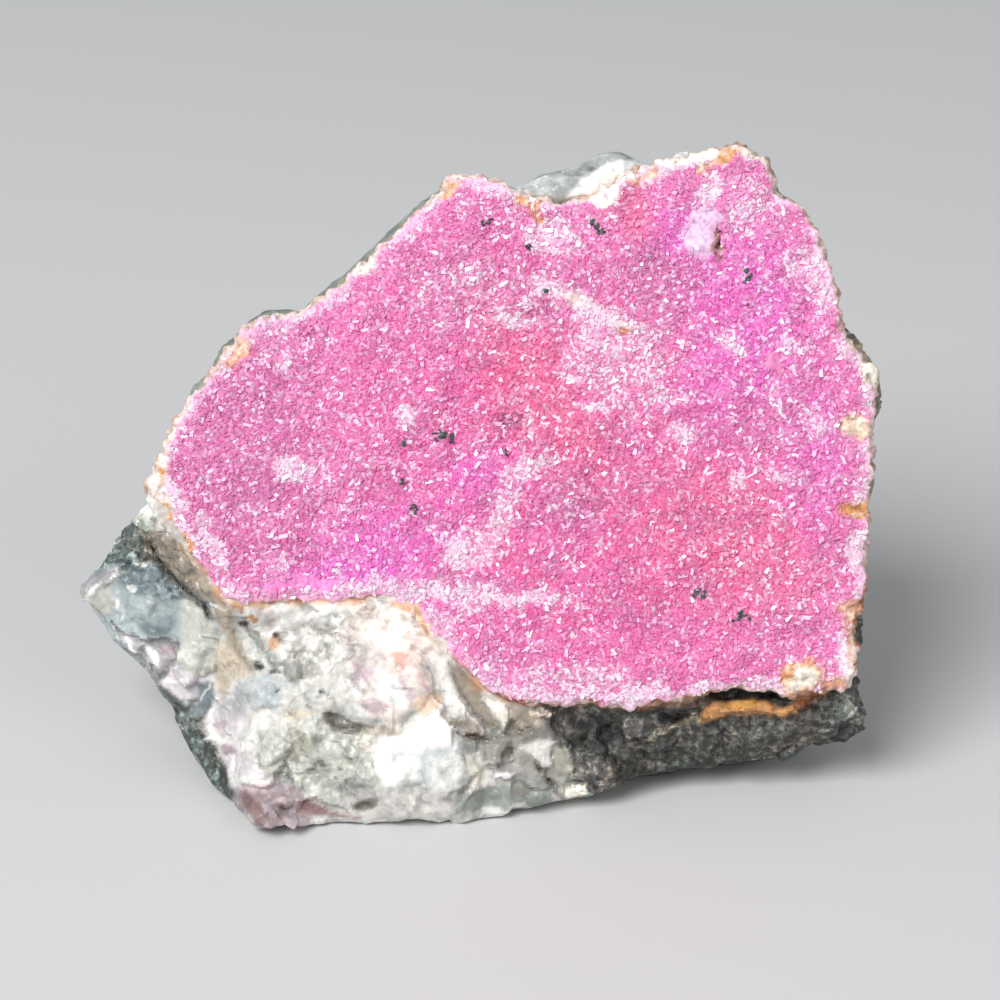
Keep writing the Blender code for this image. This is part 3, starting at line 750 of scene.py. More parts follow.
        (-17.7, -20.3), (-17.1, -20.4), (-15.8, -22.8), (-16.4, -22.6))),
    "mauve_fold": (PALE_MAUVE, (0.1, -0.3, 0.0), (
        (-15.8, -22.8), (-14.2, -23.0), (-12.4, -23.6), (-13.4, -24.7), (-15.2, -24.1))),
    "white_folds": (WHITE_QUARTZ, None, (
        (-13.9, -19.0), (-11.8, -20.6), (-10.6, -23.4), (-12.2, -23.2), (-13.6, -21.4))),
    # Painted shadow: the crescent, its core and its end paint the dark shade under the lower lip of the
    # shell, darkest at the left and fading to the right
    "crescent": (ASHY_QUARTZ_AND_SHADE, None, (
        (-20.3, -24.1), (-19.2, -23.6), (-18.6, -24.4), (-18.2, -25.2), (-17.2, -25.6), (-15.8, -25.6),
        (-14.8, -25.9), (-13.0, -26.3), (-12.0, -26.7), (-14.4, -26.9), (-15.9, -26.3), (-16.4, -26.7),
        (-18.0, -26.7), (-18.9, -26.7), (-19.8, -25.9), (-20.3, -25.0))),
    "crescent_shadow_core": (FLINT_AND_SHADE, None, (
        (-20.1, -24.4), (-19.3, -24.2), (-18.6, -25.4), (-17.2, -26.0), (-16.2, -26.4), (-17.8, -26.6),
        (-18.8, -26.5), (-19.7, -25.7))),
    "crescent_shadow_end": (PALE_TAUPE, None, (
        (-15.6, -25.8), (-13.0, -26.1), (-11.0, -26.3), (-12.8, -27.0), (-14.4, -26.9), (-15.8, -26.3))),
    "left_plane": (OLIVE_QUARTZ, (-0.3, 0.1, 0.1), (
        (-27.6, -26.6), (-26.0, -26.4), (-24.8, -27.6), (-24.8, -30.0), (-26.0, -31.0), (-27.4, -30.8))),
    "khaki_grains": (KHAKI_QUARTZ, None, (
        (-24.6, -26.4), (-22.0, -26.6), (-20.2, -27.4), (-21.4, -28.4), (-22.6, -30.0), (-24.6, -30.2))),
    "tan_grains": (TAN_QUARTZ, None, (
        (-24.8, -23.9), (-22.6, -24.1), (-21.0, -24.6), (-22.4, -25.2), (-24.2, -25.4))),
    "cream_grains": (CREAM_QUARTZ, None, (
        (-16.4, -26.7), (-14.2, -27.2), (-14.0, -29.6), (-15.4, -29.4), (-16.6, -28.0))),
    "bright_knob": (WHITE_QUARTZ, None, (
        (-14.0, -27.4), (-12.6, -27.0), (-10.4, -26.6), (-8.6, -25.8), (-7.0, -24.4), (-6.2, -25.4),
        (-5.8, -26.6), (-5.0, -28.0), (-4.2, -29.6), (-4.0, -31.6), (-5.2, -33.4), (-7.6, -33.2),
        (-10.0, -32.6), (-13.0, -32.8), (-14.6, -31.0))),
    "peach_shard": (PEACH_QUARTZ, None, (
        (-9.8, -22.8), (-7.8, -22.0), (-6.4, -22.3), (-7.0, -23.6), (-8.8, -24.6), (-9.6, -24.2))),
    "pointed_shard": (MILKY_QUARTZ, (-0.25, 0.25, 0.5), (
        (-6.2, -21.6), (-5.2, -22.0), (-4.2, -22.9), (-2.9, -24.4), (-1.9, -25.6), (-1.1, -26.8),
        (-2.0, -27.0), (-3.6, -26.8), (-5.0, -25.9), (-6.8, -24.6))),
    "shard_shade": (PALE_TAUPE, (0.0, -0.5, 0.0), (
        (-5.9, -25.0), (-4.4, -24.8), (-3.2, -25.2), (-2.6, -26.0), (-1.8, -26.9), (-3.2, -26.8),
        (-4.6, -26.2), (-5.6, -25.8))),
    "shard_line": (BROWN, None, (
        (-4.4, -26.6), (-1.9, -27.1), (-1.8, -27.4), (-3.0, -27.5), (-4.0, -27.1))),
    "taupe_strip": (TAUPE, (0.3, 0.0, -0.5), (
        (-5.7, -18.4), (-4.6, -19.0), (-3.4, -19.9), (-2.5, -20.6), (-1.8, -21.8), (-2.2, -22.8),
        (-1.9, -23.6), (-1.2, -24.6), (-0.3, -26.0), (-1.2, -26.1), (-2.4, -24.7), (-3.6, -23.3),
        (-4.6, -22.0), (-5.4, -20.6))),
    "strip_line": (DARK_FLINT, None, (
        (-5.6, -19.6), (-5.3, -19.6), (-4.3, -22.0), (-3.2, -23.3), (-1.0, -26.0), (-1.3, -26.1),
        (-3.5, -23.6), (-4.7, -22.1))),
    "cream_shard": (CREAM_QUARTZ, (0.1, 0.2, 0.2), (
        (-1.8, -22.2), (-1.0, -22.6), (0.0, -23.6), (1.2, -24.1), (1.3, -25.2), (0.5, -26.2),
        (-0.2, -25.2), (-0.9, -24.4), (-1.6, -23.8))),
    "brown_patch": (TAUPE, (0.2, 0.2, -0.1), (
        (1.4, -24.0), (3.4, -23.9), (4.6, -24.6), (5.6, -25.6), (4.0, -26.2), (2.4, -26.3),
        (1.3, -25.6))),
    "dark_corner": (DARK_DOLOSTONE, None, (
        (3.8, -23.6), (7.8, -22.8), (9.0, -25.0), (8.2, -28.2), (7.0, -27.6), (5.8, -26.3),
        (4.6, -25.2))),
    "flint_wedge": (FLINT_AND_SHADE, None, (
        (0.6, -27.8), (1.2, -27.6), (1.5, -28.4), (1.1, -29.4), (0.4, -29.6), (-0.1, -29.4),
        (0.1, -28.6))),
    "wedge_side": (ASHY_QUARTZ_AND_SHADE, None, ((-0.9, -30.0), (-0.1, -29.0), (0.5, -28.1), (0.0, -29.5))),
    "bright_shard": (MILKY_QUARTZ, (0.1, 0.3, 0.2), (
        (2.4, -28.2), (3.4, -27.8), (4.6, -27.5), (5.8, -27.2), (6.6, -27.8), (5.8, -28.3), (6.0, -29.6),
        (5.7, -30.9), (4.8, -30.5), (4.0, -29.7), (3.2, -28.8))),
    "smoky_shard": (ASHY_QUARTZ_AND_SHADE, (0.1, 0.2, 0.3), (
        (-0.9, -30.5), (0.2, -30.1), (2.0, -30.0), (3.6, -30.1), (4.9, -31.4), (5.7, -32.4),
        (5.2, -33.2), (3.4, -32.6), (1.8, -31.6), (0.6, -31.2))),
    "pale_ridge": (LILAC_QUARTZ, (0.0, 0.5, 0.2), (
        (-0.6, -30.9), (0.8, -31.2), (1.7, -31.5), (1.0, -32.2), (-0.8, -31.9))),
    "crack_line": (FLINT_AND_SHADE, None, (
        (3.4, -29.9), (3.9, -30.0), (5.2, -31.2), (6.2, -32.4), (7.6, -34.2), (7.2, -34.3),
        (5.6, -32.6), (4.4, -31.3))),
    "beige_patch": (CREAM_QUARTZ, None, (
        (-4.0, -29.2), (-2.6, -28.8), (-1.8, -29.8), (-1.4, -31.4), (-1.8, -32.8), (-3.4, -33.4),
        (-3.8, -31.8))),
    "khaki_shard": (KHAKI_QUARTZ, None, (
        (6.2, -28.3), (7.6, -28.6), (8.0, -30.0), (7.8, -32.0), (7.0, -32.8), (6.1, -31.8),
        (6.0, -30.4))),
    "cream_tip": (CREAM_QUARTZ, (0.1, 0.3, 0.4), (
        (7.0, -33.2), (8.4, -32.6), (9.8, -32.5), (9.8, -33.8), (8.6, -34.4), (7.8, -34.2))),
    # Painted shade: the low hollow is a grey spot where the hollow near the bottom lies in shadow
    "low_hollow": (FLINT_AND_SHADE, None, (
        (-17.0, -35.1), (-15.6, -34.5), (-13.9, -34.3), (-14.0, -35.0), (-14.8, -35.6), (-16.4, -35.7))),
    "foot_ledge": (LILAC_QUARTZ, None, (
        (-31.3, -29.6), (-30.6, -29.0), (-29.4, -29.2), (-28.2, -30.2), (-26.4, -31.4), (-25.4, -32.4),
        (-26.2, -32.9), (-28.0, -32.8), (-30.2, -33.1), (-31.0, -32.2))),
    "ledge_edge": (PEARLY_QUARTZ, None, (
        (-30.4, -31.8), (-28.0, -31.6), (-26.0, -32.0), (-25.5, -32.6), (-28.0, -32.8), (-30.3, -33.0))),
    "mauve_lumps": (MAUVE, None, (
        (-32.4, -28.0), (-31.4, -27.8), (-30.2, -28.6), (-29.4, -29.0), (-30.6, -29.0), (-31.4, -29.6))),
    "blush_lump": (PEARLY_QUARTZ, None, (
        (-33.8, -26.2), (-33.0, -25.7), (-32.4, -26.2), (-32.0, -27.2), (-33.0, -27.6), (-33.8, -27.2))),
    "mauve_bit": (PALE_MAUVE, None, ((-32.6, -25.6), (-31.6, -25.2), (-31.3, -26.0), (-32.2, -26.6))),
    "lilac_shard": (LILAC_QUARTZ, None, (
        (-31.2, -25.8), (-30.2, -26.4), (-29.4, -27.8), (-28.8, -28.8), (-30.0, -28.6), (-31.0, -27.4))),
    "foot": (MAUVE, None, (
        (-30.4, -33.4), (-28.4, -32.9), (-26.0, -33.0), (-24.0, -33.4), (-23.4, -34.4), (-23.8, -35.8),
        (-24.6, -37.6), (-26.8, -38.2), (-28.2, -37.4), (-29.2, -36.0), (-29.8, -34.8))),
    "foot_band": (PALE_MAUVE, None, (
        (-30.2, -32.8), (-27.4, -32.6), (-24.4, -33.0), (-24.2, -33.5), (-27.0, -33.3), (-29.9, -33.5))),
    "foot_face": (MAROON, None, (
        (-29.7, -33.6), (-28.2, -33.8), (-27.2, -35.0), (-26.8, -36.2), (-26.4, -37.2), (-27.6, -37.2),
        (-28.8, -36.0), (-29.4, -34.8))),
    "foot_lobe": (PALE_MAUVE, None, (
        (-26.3, -34.4), (-25.2, -33.6), (-24.2, -33.8), (-23.5, -34.8), (-24.6, -35.2), (-25.9, -35.0))),
    "foot_lobe_left": (PALE_MAUVE, None, (
        (-27.3, -34.8), (-26.4, -34.5), (-26.0, -35.2), (-26.4, -36.2), (-27.0, -36.0))),
    "foot_gap": (MAROON, None, ((-26.0, -35.1), (-24.4, -35.2), (-24.0, -35.6), (-25.4, -35.6))),
    "foot_step": (PALE_MAUVE, None, (
        (-24.8, -36.0), (-24.0, -35.8), (-22.4, -36.6), (-21.8, -37.4), (-23.4, -38.0), (-24.4, -37.4))),
    "maroon_seam": (MAROON, None, (
        (-23.6, -34.8), (-22.0, -34.7), (-20.4, -34.9), (-19.4, -35.6), (-17.6, -36.1), (-15.8, -36.4),
        (-17.0, -36.7), (-19.6, -36.3), (-21.6, -36.2), (-23.2, -35.7))),
    "foot_corner": (MILKY_QUARTZ, None, (
        (-29.5, -35.6), (-28.8, -36.4), (-27.6, -37.3), (-26.9, -37.9), (-27.6, -38.2), (-28.8, -37.3),
        (-29.6, -36.2))),
    "white_spar_back": (WHITE_QUARTZ, None, (
        (7.6, 34.6), (9.0, 36.3), (10.8, 37.6), (12.4, 38.4), (14.2, 38.8), (17.4, 38.8), (15.6, 36.0),
        (12.0, 33.8))),
    "chip_left_plane": (CLEAR_QUARTZ, (-0.4, -0.2, 0.1), (
        (0.8, 34.4), (2.4, 36.4), (5.4, 37.0), (6.2, 35.6), (4.8, 34.4), (3.0, 33.4))),
    "chip_top_plane": (CLEAR_QUARTZ, (0.2, -0.5, 0.2), (
        (6.8, 37.3), (9.4, 38.8), (12.0, 40.0), (15.0, 39.0), (13.0, 38.7), (11.0, 37.8), (9.4, 36.9))),
    "white_bit": (MILKY_QUARTZ, (0.1, 0.3, 0.3), (
        (3.6, -24.0), (5.0, -23.8), (6.4, -24.6), (5.6, -25.3), (4.2, -24.9))),
    "black_bank": (BLACK_DOLOSTONE_AND_SHADE, None, (
        (7.8, -24.6), (12.0, -24.2), (13.6, -26.0), (14.0, -28.0), (10.0, -28.2), (8.0, -27.6))),
    "grey_block": (GREY_DOLOSTONE, (0.1, 0.1, 0.3), (
        (13.4, -23.8), (17.4, -24.2), (18.6, -26.2), (16.0, -27.4), (14.4, -27.6), (13.8, -25.8))),
    # Painted shade: the left recess is painted black where the rock lies back under the crust's lower
    # edge
    "left_recess": (BLACK_DOLOSTONE_AND_SHADE, None, (
        (17.8, -24.2), (21.6, -23.9), (20.6, -25.5), (19.2, -26.0), (18.4, -25.4))),
    "pale_veinlet": (TAUPE, (0.2, 0.5, 0.2), (
        (15.8, -27.8), (18.0, -26.6), (20.0, -25.6), (21.6, -24.7), (22.8, -24.2), (23.2, -25.2),
        (21.4, -25.7), (19.4, -26.5), (17.6, -27.4))),
    "pale_bank": (GREY_DOLOSTONE, (0.2, 0.2, 0.2), (
        (8.4, -29.0), (10.0, -28.4), (11.6, -29.4), (12.6, -30.6), (13.6, -31.6), (11.0, -31.8),
        (9.0, -30.6))),
    # Painted shade: the recess is painted black where the rock lies back in shadow under the crust's
    # lower edge, above the orange shelf
    "recess": (BLACK_DOLOSTONE_AND_SHADE, None, (
        (22.8, -22.7), (24.6, -21.6), (26.6, -20.8), (28.4, -21.0), (30.6, -21.8), (33.0, -22.6),
        (33.2, -23.4), (31.6, -23.2), (29.6, -22.8), (27.0, -22.9), (24.6, -23.0))),
    "orange_shelf": (LIMONITE, (0.0, 0.4, 0.3), (
        (22.6, -24.3), (24.0, -23.3), (26.0, -23.1), (29.0, -22.9), (30.6, -23.2), (32.4, -23.7),
        (34.2, -23.4), (33.8, -24.4), (32.4, -24.9), (30.4, -24.6), (27.0, -24.6), (24.4, -25.2),
        (23.0, -25.4))),
    "golden_bits": (GOLDEN, None, (
        (25.8, -23.4), (28.8, -23.1), (30.2, -23.5), (28.4, -24.1), (26.2, -23.9))),
    "rusty_corner": (RUSTY, (0.1, 0.2, 0.4), (
        (33.6, -22.9), (34.6, -22.2), (36.6, -21.4), (37.6, -22.2), (36.0, -22.9), (34.6, -23.8),
        (33.9, -23.9))),
    "tip_bank": (PALE_DOLOSTONE, (0.2, 0.3, 0.2), (
        (37.4, -22.6), (39.6, -21.8), (40.6, -22.2), (40.4, -24.0), (41.8, -24.8), (39.6, -24.8),
        (37.6, -24.2))),
}

# Where the front is dolostone, as outlines seen by the eye
DOLOSTONE = (
    ((3.4, -23.4), (9.0, -22.0), (44.0, -16.0), (50.0, -30.0), (30.0, -36.0), (9.8, -35.6),
     (8.4, -32.5), (8.0, -30.0), (7.6, -28.4), (6.6, -26.6), (5.0, -25.4), (3.2, -24.6)),
    ((-37.6, -23.6), (-36.0, -24.6), (-34.4, -25.2), (-33.8, -27.0), (-33.2, -28.6), (-32.0, -30.4),
     (-31.2, -32.4), (-30.6, -34.2), (-30.0, -36.0), (-34.0, -36.0), (-38.0, -28.0)),
    ((-41.0, -1.8), (-46.4, -4.0), (-47.0, -8.2), (-44.2, -7.5), (-42.0, -6.5), (-40.8, -7.6),
     (-39.3, -6.2), (-39.2, -4.6)),
)

# Streaks and specks on it, given as the patches are
ROCK_DETAILS = (
    (-36.3, -23.9, 0.7, 0.3, -20, 1.0, GREEN_BLACK),
    (-35.4, -4.6, 0.9, 0.7, 0, 0.9, LIMONITE),
    (-33.6, -7.9, 0.6, 0.4, 0, 0.7, LIMONITE),
    (-31.9, -10.2, 0.9, 0.5, -50, 0.7, LIMONITE),
    (-25.7, -19.3, 0.6, 0.25, -50, 0.9, GREEN_BLACK),
    (-25.7, -22.1, 0.5, 0.25, 75, 1.0, GREEN_BLACK),
    (-19.8, -22.1, 0.5, 0.25, -50, 1.0, GREEN_BLACK),
    (-21.4, -23.5, 0.3, 0.2, -50, 0.9, FLINT_AND_SHADE),
    (-21.1, -27.6, 0.35, 0.2, 20, 0.9, FLINT_AND_SHADE),
    (-16.4, -29.6, 0.35, 0.2, 0, 0.8, FLINT_AND_SHADE),
    (-29.6, -11.8, 1.6, 0.4, -10, 0.7, BLUSH_QUARTZ),
    (-34.0, -16.0, 2.3, 0.2, 4, 0.8, KHAKI_QUARTZ),
    (-43.4, -14.7, 0.9, 0.25, -60, 0.9, WHITE_QUARTZ),
    (-41.4, -16.6, 1.4, 0.3, -65, 0.9, WHITE_QUARTZ),
    (-39.7, -18.0, 1.4, 0.3, -70, 0.8, WHITE_QUARTZ),
    (-42.4, -10.4, 0.5, 0.3, -30, 0.9, WHITE_QUARTZ),
    (-43.8, -11.3, 0.6, 0.25, -80, 0.8, WHITE_QUARTZ),
    (-41.2, -7.4, 0.8, 0.25, -20, 0.9, WHITE_QUARTZ),
    (-34.2, -22.4, 1.6, 0.2, 62, 0.8, LILAC_QUARTZ),
    (2.0, -33.4, 1.1, 0.4, 30, 0.8, FLINT_AND_SHADE),
    (6.2, -33.2, 0.5, 0.2, -45, 0.9, GREEN_BLACK),
    (-5.0, -33.6, 1.6, 0.25, 4, 0.8, FLINT_AND_SHADE),
    (-10.0, -33.4, 3.0, 0.2, 4, 0.5, SMOKY_QUARTZ),
    (18.2, -25.4, 0.7, 0.25, -50, 0.8, PALE_DOLOSTONE),
    (26.8, -22.6, 0.7, 0.3, 20, 0.8, PALE_DOLOSTONE),
    (30.6, -23.1, 0.4, 0.25, 0, 0.9, CREAM_QUARTZ),
    (31.7, -22.4, 0.3, 0.4, 0, 0.8, PALE_DOLOSTONE),
    (18.0, -23.4, 6.0, 0.25, 2, 0.7, BROWN),
    (16.0, -23.0, 6.0, 0.35, 2, 0.8, RUSTY),
)

# Where the rock's broken faces are smooth: across, up, half length, half width, turn
SMOOTH = (
    (-27.6, -22.2, 3.2, 2.4, 0),
    (-14.0, -20.8, 5.4, 4.6, 14),
    (-10.0, -29.6, 5.2, 3.6, 0),
    (8.0, 37.5, 9.0, 4.0, 8),
    (-14.0, 27.0, 22.0, 6.0, 38),
)

# Where the quartz is sugary rather than glassy: across, up, half length, half width, turn
SUGARY = (
    (-20.6, -16.6, 4.4, 2.4, 0),
    (-20.0, -29.4, 6.0, 4.6, 0),
    (-42.4, -5.4, 4.0, 2.6, 50),
    (-40.0, -9.4, 4.0, 1.6, -20),
    (-37.0, -7.8, 5.8, 2.4, -52),
    (28.2, -24.0, 7.0, 1.6, 0),
    (35.8, -22.6, 2.8, 1.4, 20),
    (-13.0, -13.6, 7.0, 1.8, 0),
    (42.0, 5.0, 3.5, 18.0, 0),
)


def painted(rows, base, patches, softness, breakup):
    """Each place's colour or value: the base, with patches over it whose edges noise breaks up."""
    seen = as_seen(rows) + warp_at(rows, 4.5)[:, :2] * 1.2 + warp_at(rows, 1.3)[:, :2] * 0.5
    broken = (noise_at(rows, 0.9, 7.0) + noise_at(rows, 2.6, 9.0)) * breakup
    result = base
    for *ellipse, strength, paint in patches:
        inner = in_ellipse(seen, *ellipse) + broken
        share = strength * smooth_step(1 + softness, 1 - softness, inner)
        result = tinted(result, paint, share)
    return result


def finer_front(mesh):
    """Halves the faces of the rock's front outside the druse, where small breaks are seen best."""
    body = bmesh.new()
    body.from_mesh(mesh)
    rows = places(mesh)
    facing = facings(mesh)
    seen = as_seen(rows)
    flank = (seen[:, 0] < -28) & (facing[:, 2] > -0.4)
    wanted = (facing[:, 2] > -0.1) & ((seen[:, 1] < -8) | (seen[:, 0] < -36) | (seen[:, 1] > 33))
    wanted |= flank
    edges = [e for e in body.edges if all(wanted[v.index] for v in e.verts)]
    bmesh.ops.subdivide_edges(body, edges=edges, cuts=1, use_grid_fill=True, smooth=0)
    bmesh.ops.triangulate(body, faces=[f for f in body.faces if len(f.verts) > 4])
    body.to_mesh(mesh)
    body.free()


def meet_crust(rows, gap, front):
    """Brings the quartz up to the lower edge of the druse, which it meets without a step."""
    seen = as_seen(rows)
    side = smooth_step(3, -3, seen[:, 0]) * smooth_step(12, 2, seen[:, 1])
    wanted = -0.5 - gap * 0.2
    rows[:, 2] += np.clip(wanted - rows[:, 2], 0, 2.5) * smooth_step(4.5, 0.8, gap) * front * side


def rock_shape(crust_tree):
    """The rock's mesh: flakes struck off it, then the forms and facets of its front."""
    mesh = evened(merged_copy("matrix"), ROCK_GRAIN)
    rows = places(mesh)
    facing = facings(mesh)
    free = smooth_step(0.2, 2.0, distance_to(crust_tree, rows, 3.0))
    free *= smooth_step(0.5, 3.0, above_floor(mesh))
    rows += facing * (SWELL * free)[:, None]
    start = rows.copy()
    chance = random.Random(FLAKE_SEED)
    scoop(rows, facing, chance, *WIDE_FLAKES, free)
    scoop(rows, facing, chance, *SMALL_FLAKES, free)
    lost = np.linalg.norm(rows - start, axis=1)
    kept = np.minimum(lost, LOSS_LIMIT) / np.maximum(lost, 1e-6)
    rows = start + (rows - start) * kept[:, None]
    fit_outline(rows, ROCK_PULLS, 0.25)
    put_places(mesh, rows)
    mesh = evened(mesh, ROCK_GRAIN)
    finer_front(mesh)

    rows = places(mesh)
    facing = facings(mesh)
    front = smooth_step(0.0, 0.3, facing[:, 2])
    gap = distance_to(crust_tree, rows, 6.0)
    free = smooth_step(0.2, 1.5, gap)
    meet_crust(rows, gap, front)
    work_forms(rows, facing, ROCK_FORMS)
    flat = break_flat(rows, facing, free)
    sugar = inside_any(rows, SUGARY)
    rough = (1 - 0.7 * inside_any(rows, SMOOTH)) * (1 - 0.75 * flat * (1 - sugar))
    height = facet_height(rows, *WIDE_FACETS) * (0.4 + 0.6 * rough)
    height += facet_height(rows, *MIDDLE_FACETS) * rough
    height += facet_height(rows, *SMALL_FACETS) * (0.25 + 0.75 * sugar) * rough
    height += noise_at(rows, 0.6, 5.0) * 0.05
    calm = smooth_step(6, 2, above_floor(mesh))
    rows += facing * (height * free * (1 - 0.6 * calm))[:, None]
    put_places(mesh, rows)
    return mesh


def inside_any(rows, ellipses):
    """1 in any of the ellipses, 0 outside them, with edges that noise bends."""
    seen = as_seen(rows) + warp_at(rows, 2.0)[:, :2]
    return np.max([smooth_step(1.15, 0.85, in_ellipse(seen, *e)) for e in ellipses], axis=0)


def host_rock(rows, facing):
    """Colours of the rock away from its front, and how far each place is quartz.

    A body of quartz fills the lower left, and thin veins of it run through the dolostone.
    """
    body = -0.7 * (rows[:, 0] + 6) - 0.7 * (rows[:, 1] + 10)
    body += noise_at(rows, 12, 3.0) * 10 + noise_at(rows, 3, 1.0) * 3
    wide = noise_at(rows, 20, 23.0) + noise_at(rows, 5, 27.0) * 0.14
    thin = noise_at(rows, 13, 37.0) + noise_at(rows, 4, 29.0) * 0.12
    quartz = np.maximum(smooth_step(-0.5, 0.5, body), smooth_step(0.034, 0.018, np.abs(wide)))
    quartz = np.maximum(quartz, smooth_step(0.02, 0.008, np.abs(thin)) * 0.8)
    stone = mixed(DARK_DOLOSTONE, GREY_DOLOSTONE, smooth_step(-0.2, 0.3, noise_at(rows, 9, 45.0)))
    milky = mixed(SMOKY_QUARTZ, PEARLY_QUARTZ, smooth_step(-0.2, 0.35, noise_at(rows, 5, 47.0)))
    result = tinted(stone, milky, quartz)
    stained = smooth_step(0.1, 0.6, noise_at(rows, 7, 51.0) + noise_at(rows, 1.6, 53.0) * 0.4)
    stained *= smooth_step(0.0, -0.3, facing[:, 2])
    return tinted(result, LIMONITE, stained * 0.5), quartz


def front_colours(rows, facet_middles, outlines, base):
    """Colours of the rock's front: patches that keep to the facets, and shards over them, a few of them
    painted shade.
    """
    by_facet = painted(facet_middles, base, ROCK_PATCHES, 0.15, 0.2)
    by_place = painted(rows, base, ROCK_PATCHES, 0.25, 0.25)
    return spotted(by_facet * 0.6 + by_place * 0.4, outlines, ROCK_SHARDS)


def stain_by_crust(rows, crust_tree):
    """How far iron has stained the rock next to the crust, most of it below the druse."""
    near = distance_to(crust_tree, rows, 3.0)
    near += noise_at(rows, 1.2) * 0.3 + noise_at(rows, 5.0, 6.0) * 0.4
    seen = as_seen(rows)
    under = np.maximum(smooth_step(-4, -9, seen[:, 1]), smooth_step(33, 37, seen[:, 0]) * 0.5)
    broken = smooth_step(-0.5, 0.2, noise_at(rows, 2.4, 21.0))
    return smooth_step(1.3, 0.3, near) * (0.12 + 0.8 * under * broken)


def build_rock(material, crust_tree):
    """The host rock, with each place's colour and whether it is quartz, flecked or sugary."""
    mesh = rock_shape(crust_tree)
    rows = places(mesh)
    facing = facings(mesh)
    front = smooth_step(-0.4, 0.0, facing[:, 2])
    outlines = ragged(rows)
    middles, chances, _ = facets(rows, *MIDDLE_FACETS[:2])
    wide_chances = facets(rows, *WIDE_FACETS[:2])[1]
    base, veins = host_rock(rows, facing)
    result = tinted(base, front_colours(rows, middles[:, 0], outlines, base), front)
    tone = 1 + 0.07 * chances[:, 0, 1] + 0.06 * wide_chances[:, 0, 1]
    result = result * tone[:, None]
    result = tinted(result, painted(rows, result, ROCK_DETAILS, 0.3, 0.3), front)
    stain = stain_by_crust(rows, crust_tree)
    rust = smooth_step(-0.3, 0.5, noise_at(rows, 3.0, 25.0))
    result = tinted(result, mixed(PEACH_STAIN, RUSTY, rust), stain)
    keep(mesh, "rock_colour", np.clip(result, 0, 1))

    gaps = [outline_gap(outlines, corners) for corners in DOLOSTONE]
    stone = smooth_step(0.3, -0.3, np.min(gaps, axis=0))
    stone = stone * front + (1 - veins) * (1 - front)
    vivid = 1 - result[:, :3].min(axis=1) / result[:, :3].max(axis=1)
    keep(mesh, "quartz", 1 - stone)
    keep(mesh, "fleck", stone * smooth_step(0.7, 0.4, vivid) * (1 - stain))
    keep(mesh, "sugar", inside_any(rows, SUGARY))
    mesh.shade_smooth()
    mesh.set_sharp_from_angle(angle=SHARP_ANGLE)
    rock = piece("broken_matrix", mesh, material)
    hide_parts("matrix")


# Colours of the druse in soft daylight
PINK = "#e98dbd"
ROSE = "#e97db0"
CORAL = "#ea80a6"
MAGENTA = "#ec7acb"
DUSKY = "#cf7eaa"
DEEP_ROSE = "#b4608c"
SMOOTH_PINK = "#e48cc4"
CREAMY_SPAR = "#eedcd4"
VEIN_SPAR = "#e4cfd0"
LILAC = "#dcbad6"
PALE = "#f4d8e8"
# Nearly white crystals: partly pale crystals and partly painted glints
WHITE_PINK_AND_GLINT = "#f6cde3"
WHITE_SPAR = "#f8f1ee"
RUST = "#b4683a"
TAN = "#dfc3b0"
SALMON = "#dba78d"
GREY_SPAR = "#cdb9b8"

# Wide zones of the druse: across, up, half length, half width, turn, strength, colour
DRUSE_ZONES = (
    (8.0, 2.0, 26.0, 18.0, -50, 1.0, ROSE),
    (-30.0, 4.0, 10.0, 14.0, 0, 0.5, DUSKY),
    (-2.0, 24.0, 8.0, 5.0, 0, 0.5, DUSKY),
    (18.5, 24.5, 4.5, 4.0, -30, 0.7, DUSKY),
    (5.0, 10.5, 11.0, 4.6, -60, 0.9, CORAL),
    (27.0, -5.0, 11.0, 7.0, -20, 0.8, CORAL),
    (14.6, 33.0, 4.0, 2.4, -40, 0.8, CORAL),
    (28.0, 23.0, 9.0, 6.5, -60, 0.6, MAGENTA),
    (26.5, 13.0, 6.0, 5.0, 0, 0.5, MAGENTA),
    (21.0, 31.0, 3.5, 3.0, 0, 0.7, MAGENTA),
    (-13.5, -5.5, 9.0, 4.0, 20, 0.6, MAGENTA),
    (-2.5, 3.0, 5.0, 3.0, 0, 0.5, MAGENTA),
    (-18.0, -8.8, 7.0, 1.8, 0, 0.7, MAGENTA),
    (8.0, 0.5, 4.6, 3.4, 0, 0.6, DUSKY),
    (0.9, 8.4, 1.6, 1.4, 0, 0.8, DEEP_ROSE),
    (36.0, 4.0, 3.0, 9.0, 0, 0.4, MAGENTA),
    (28.6, 9.2, 5.0, 3.0, 0, 0.6, DUSKY),
)

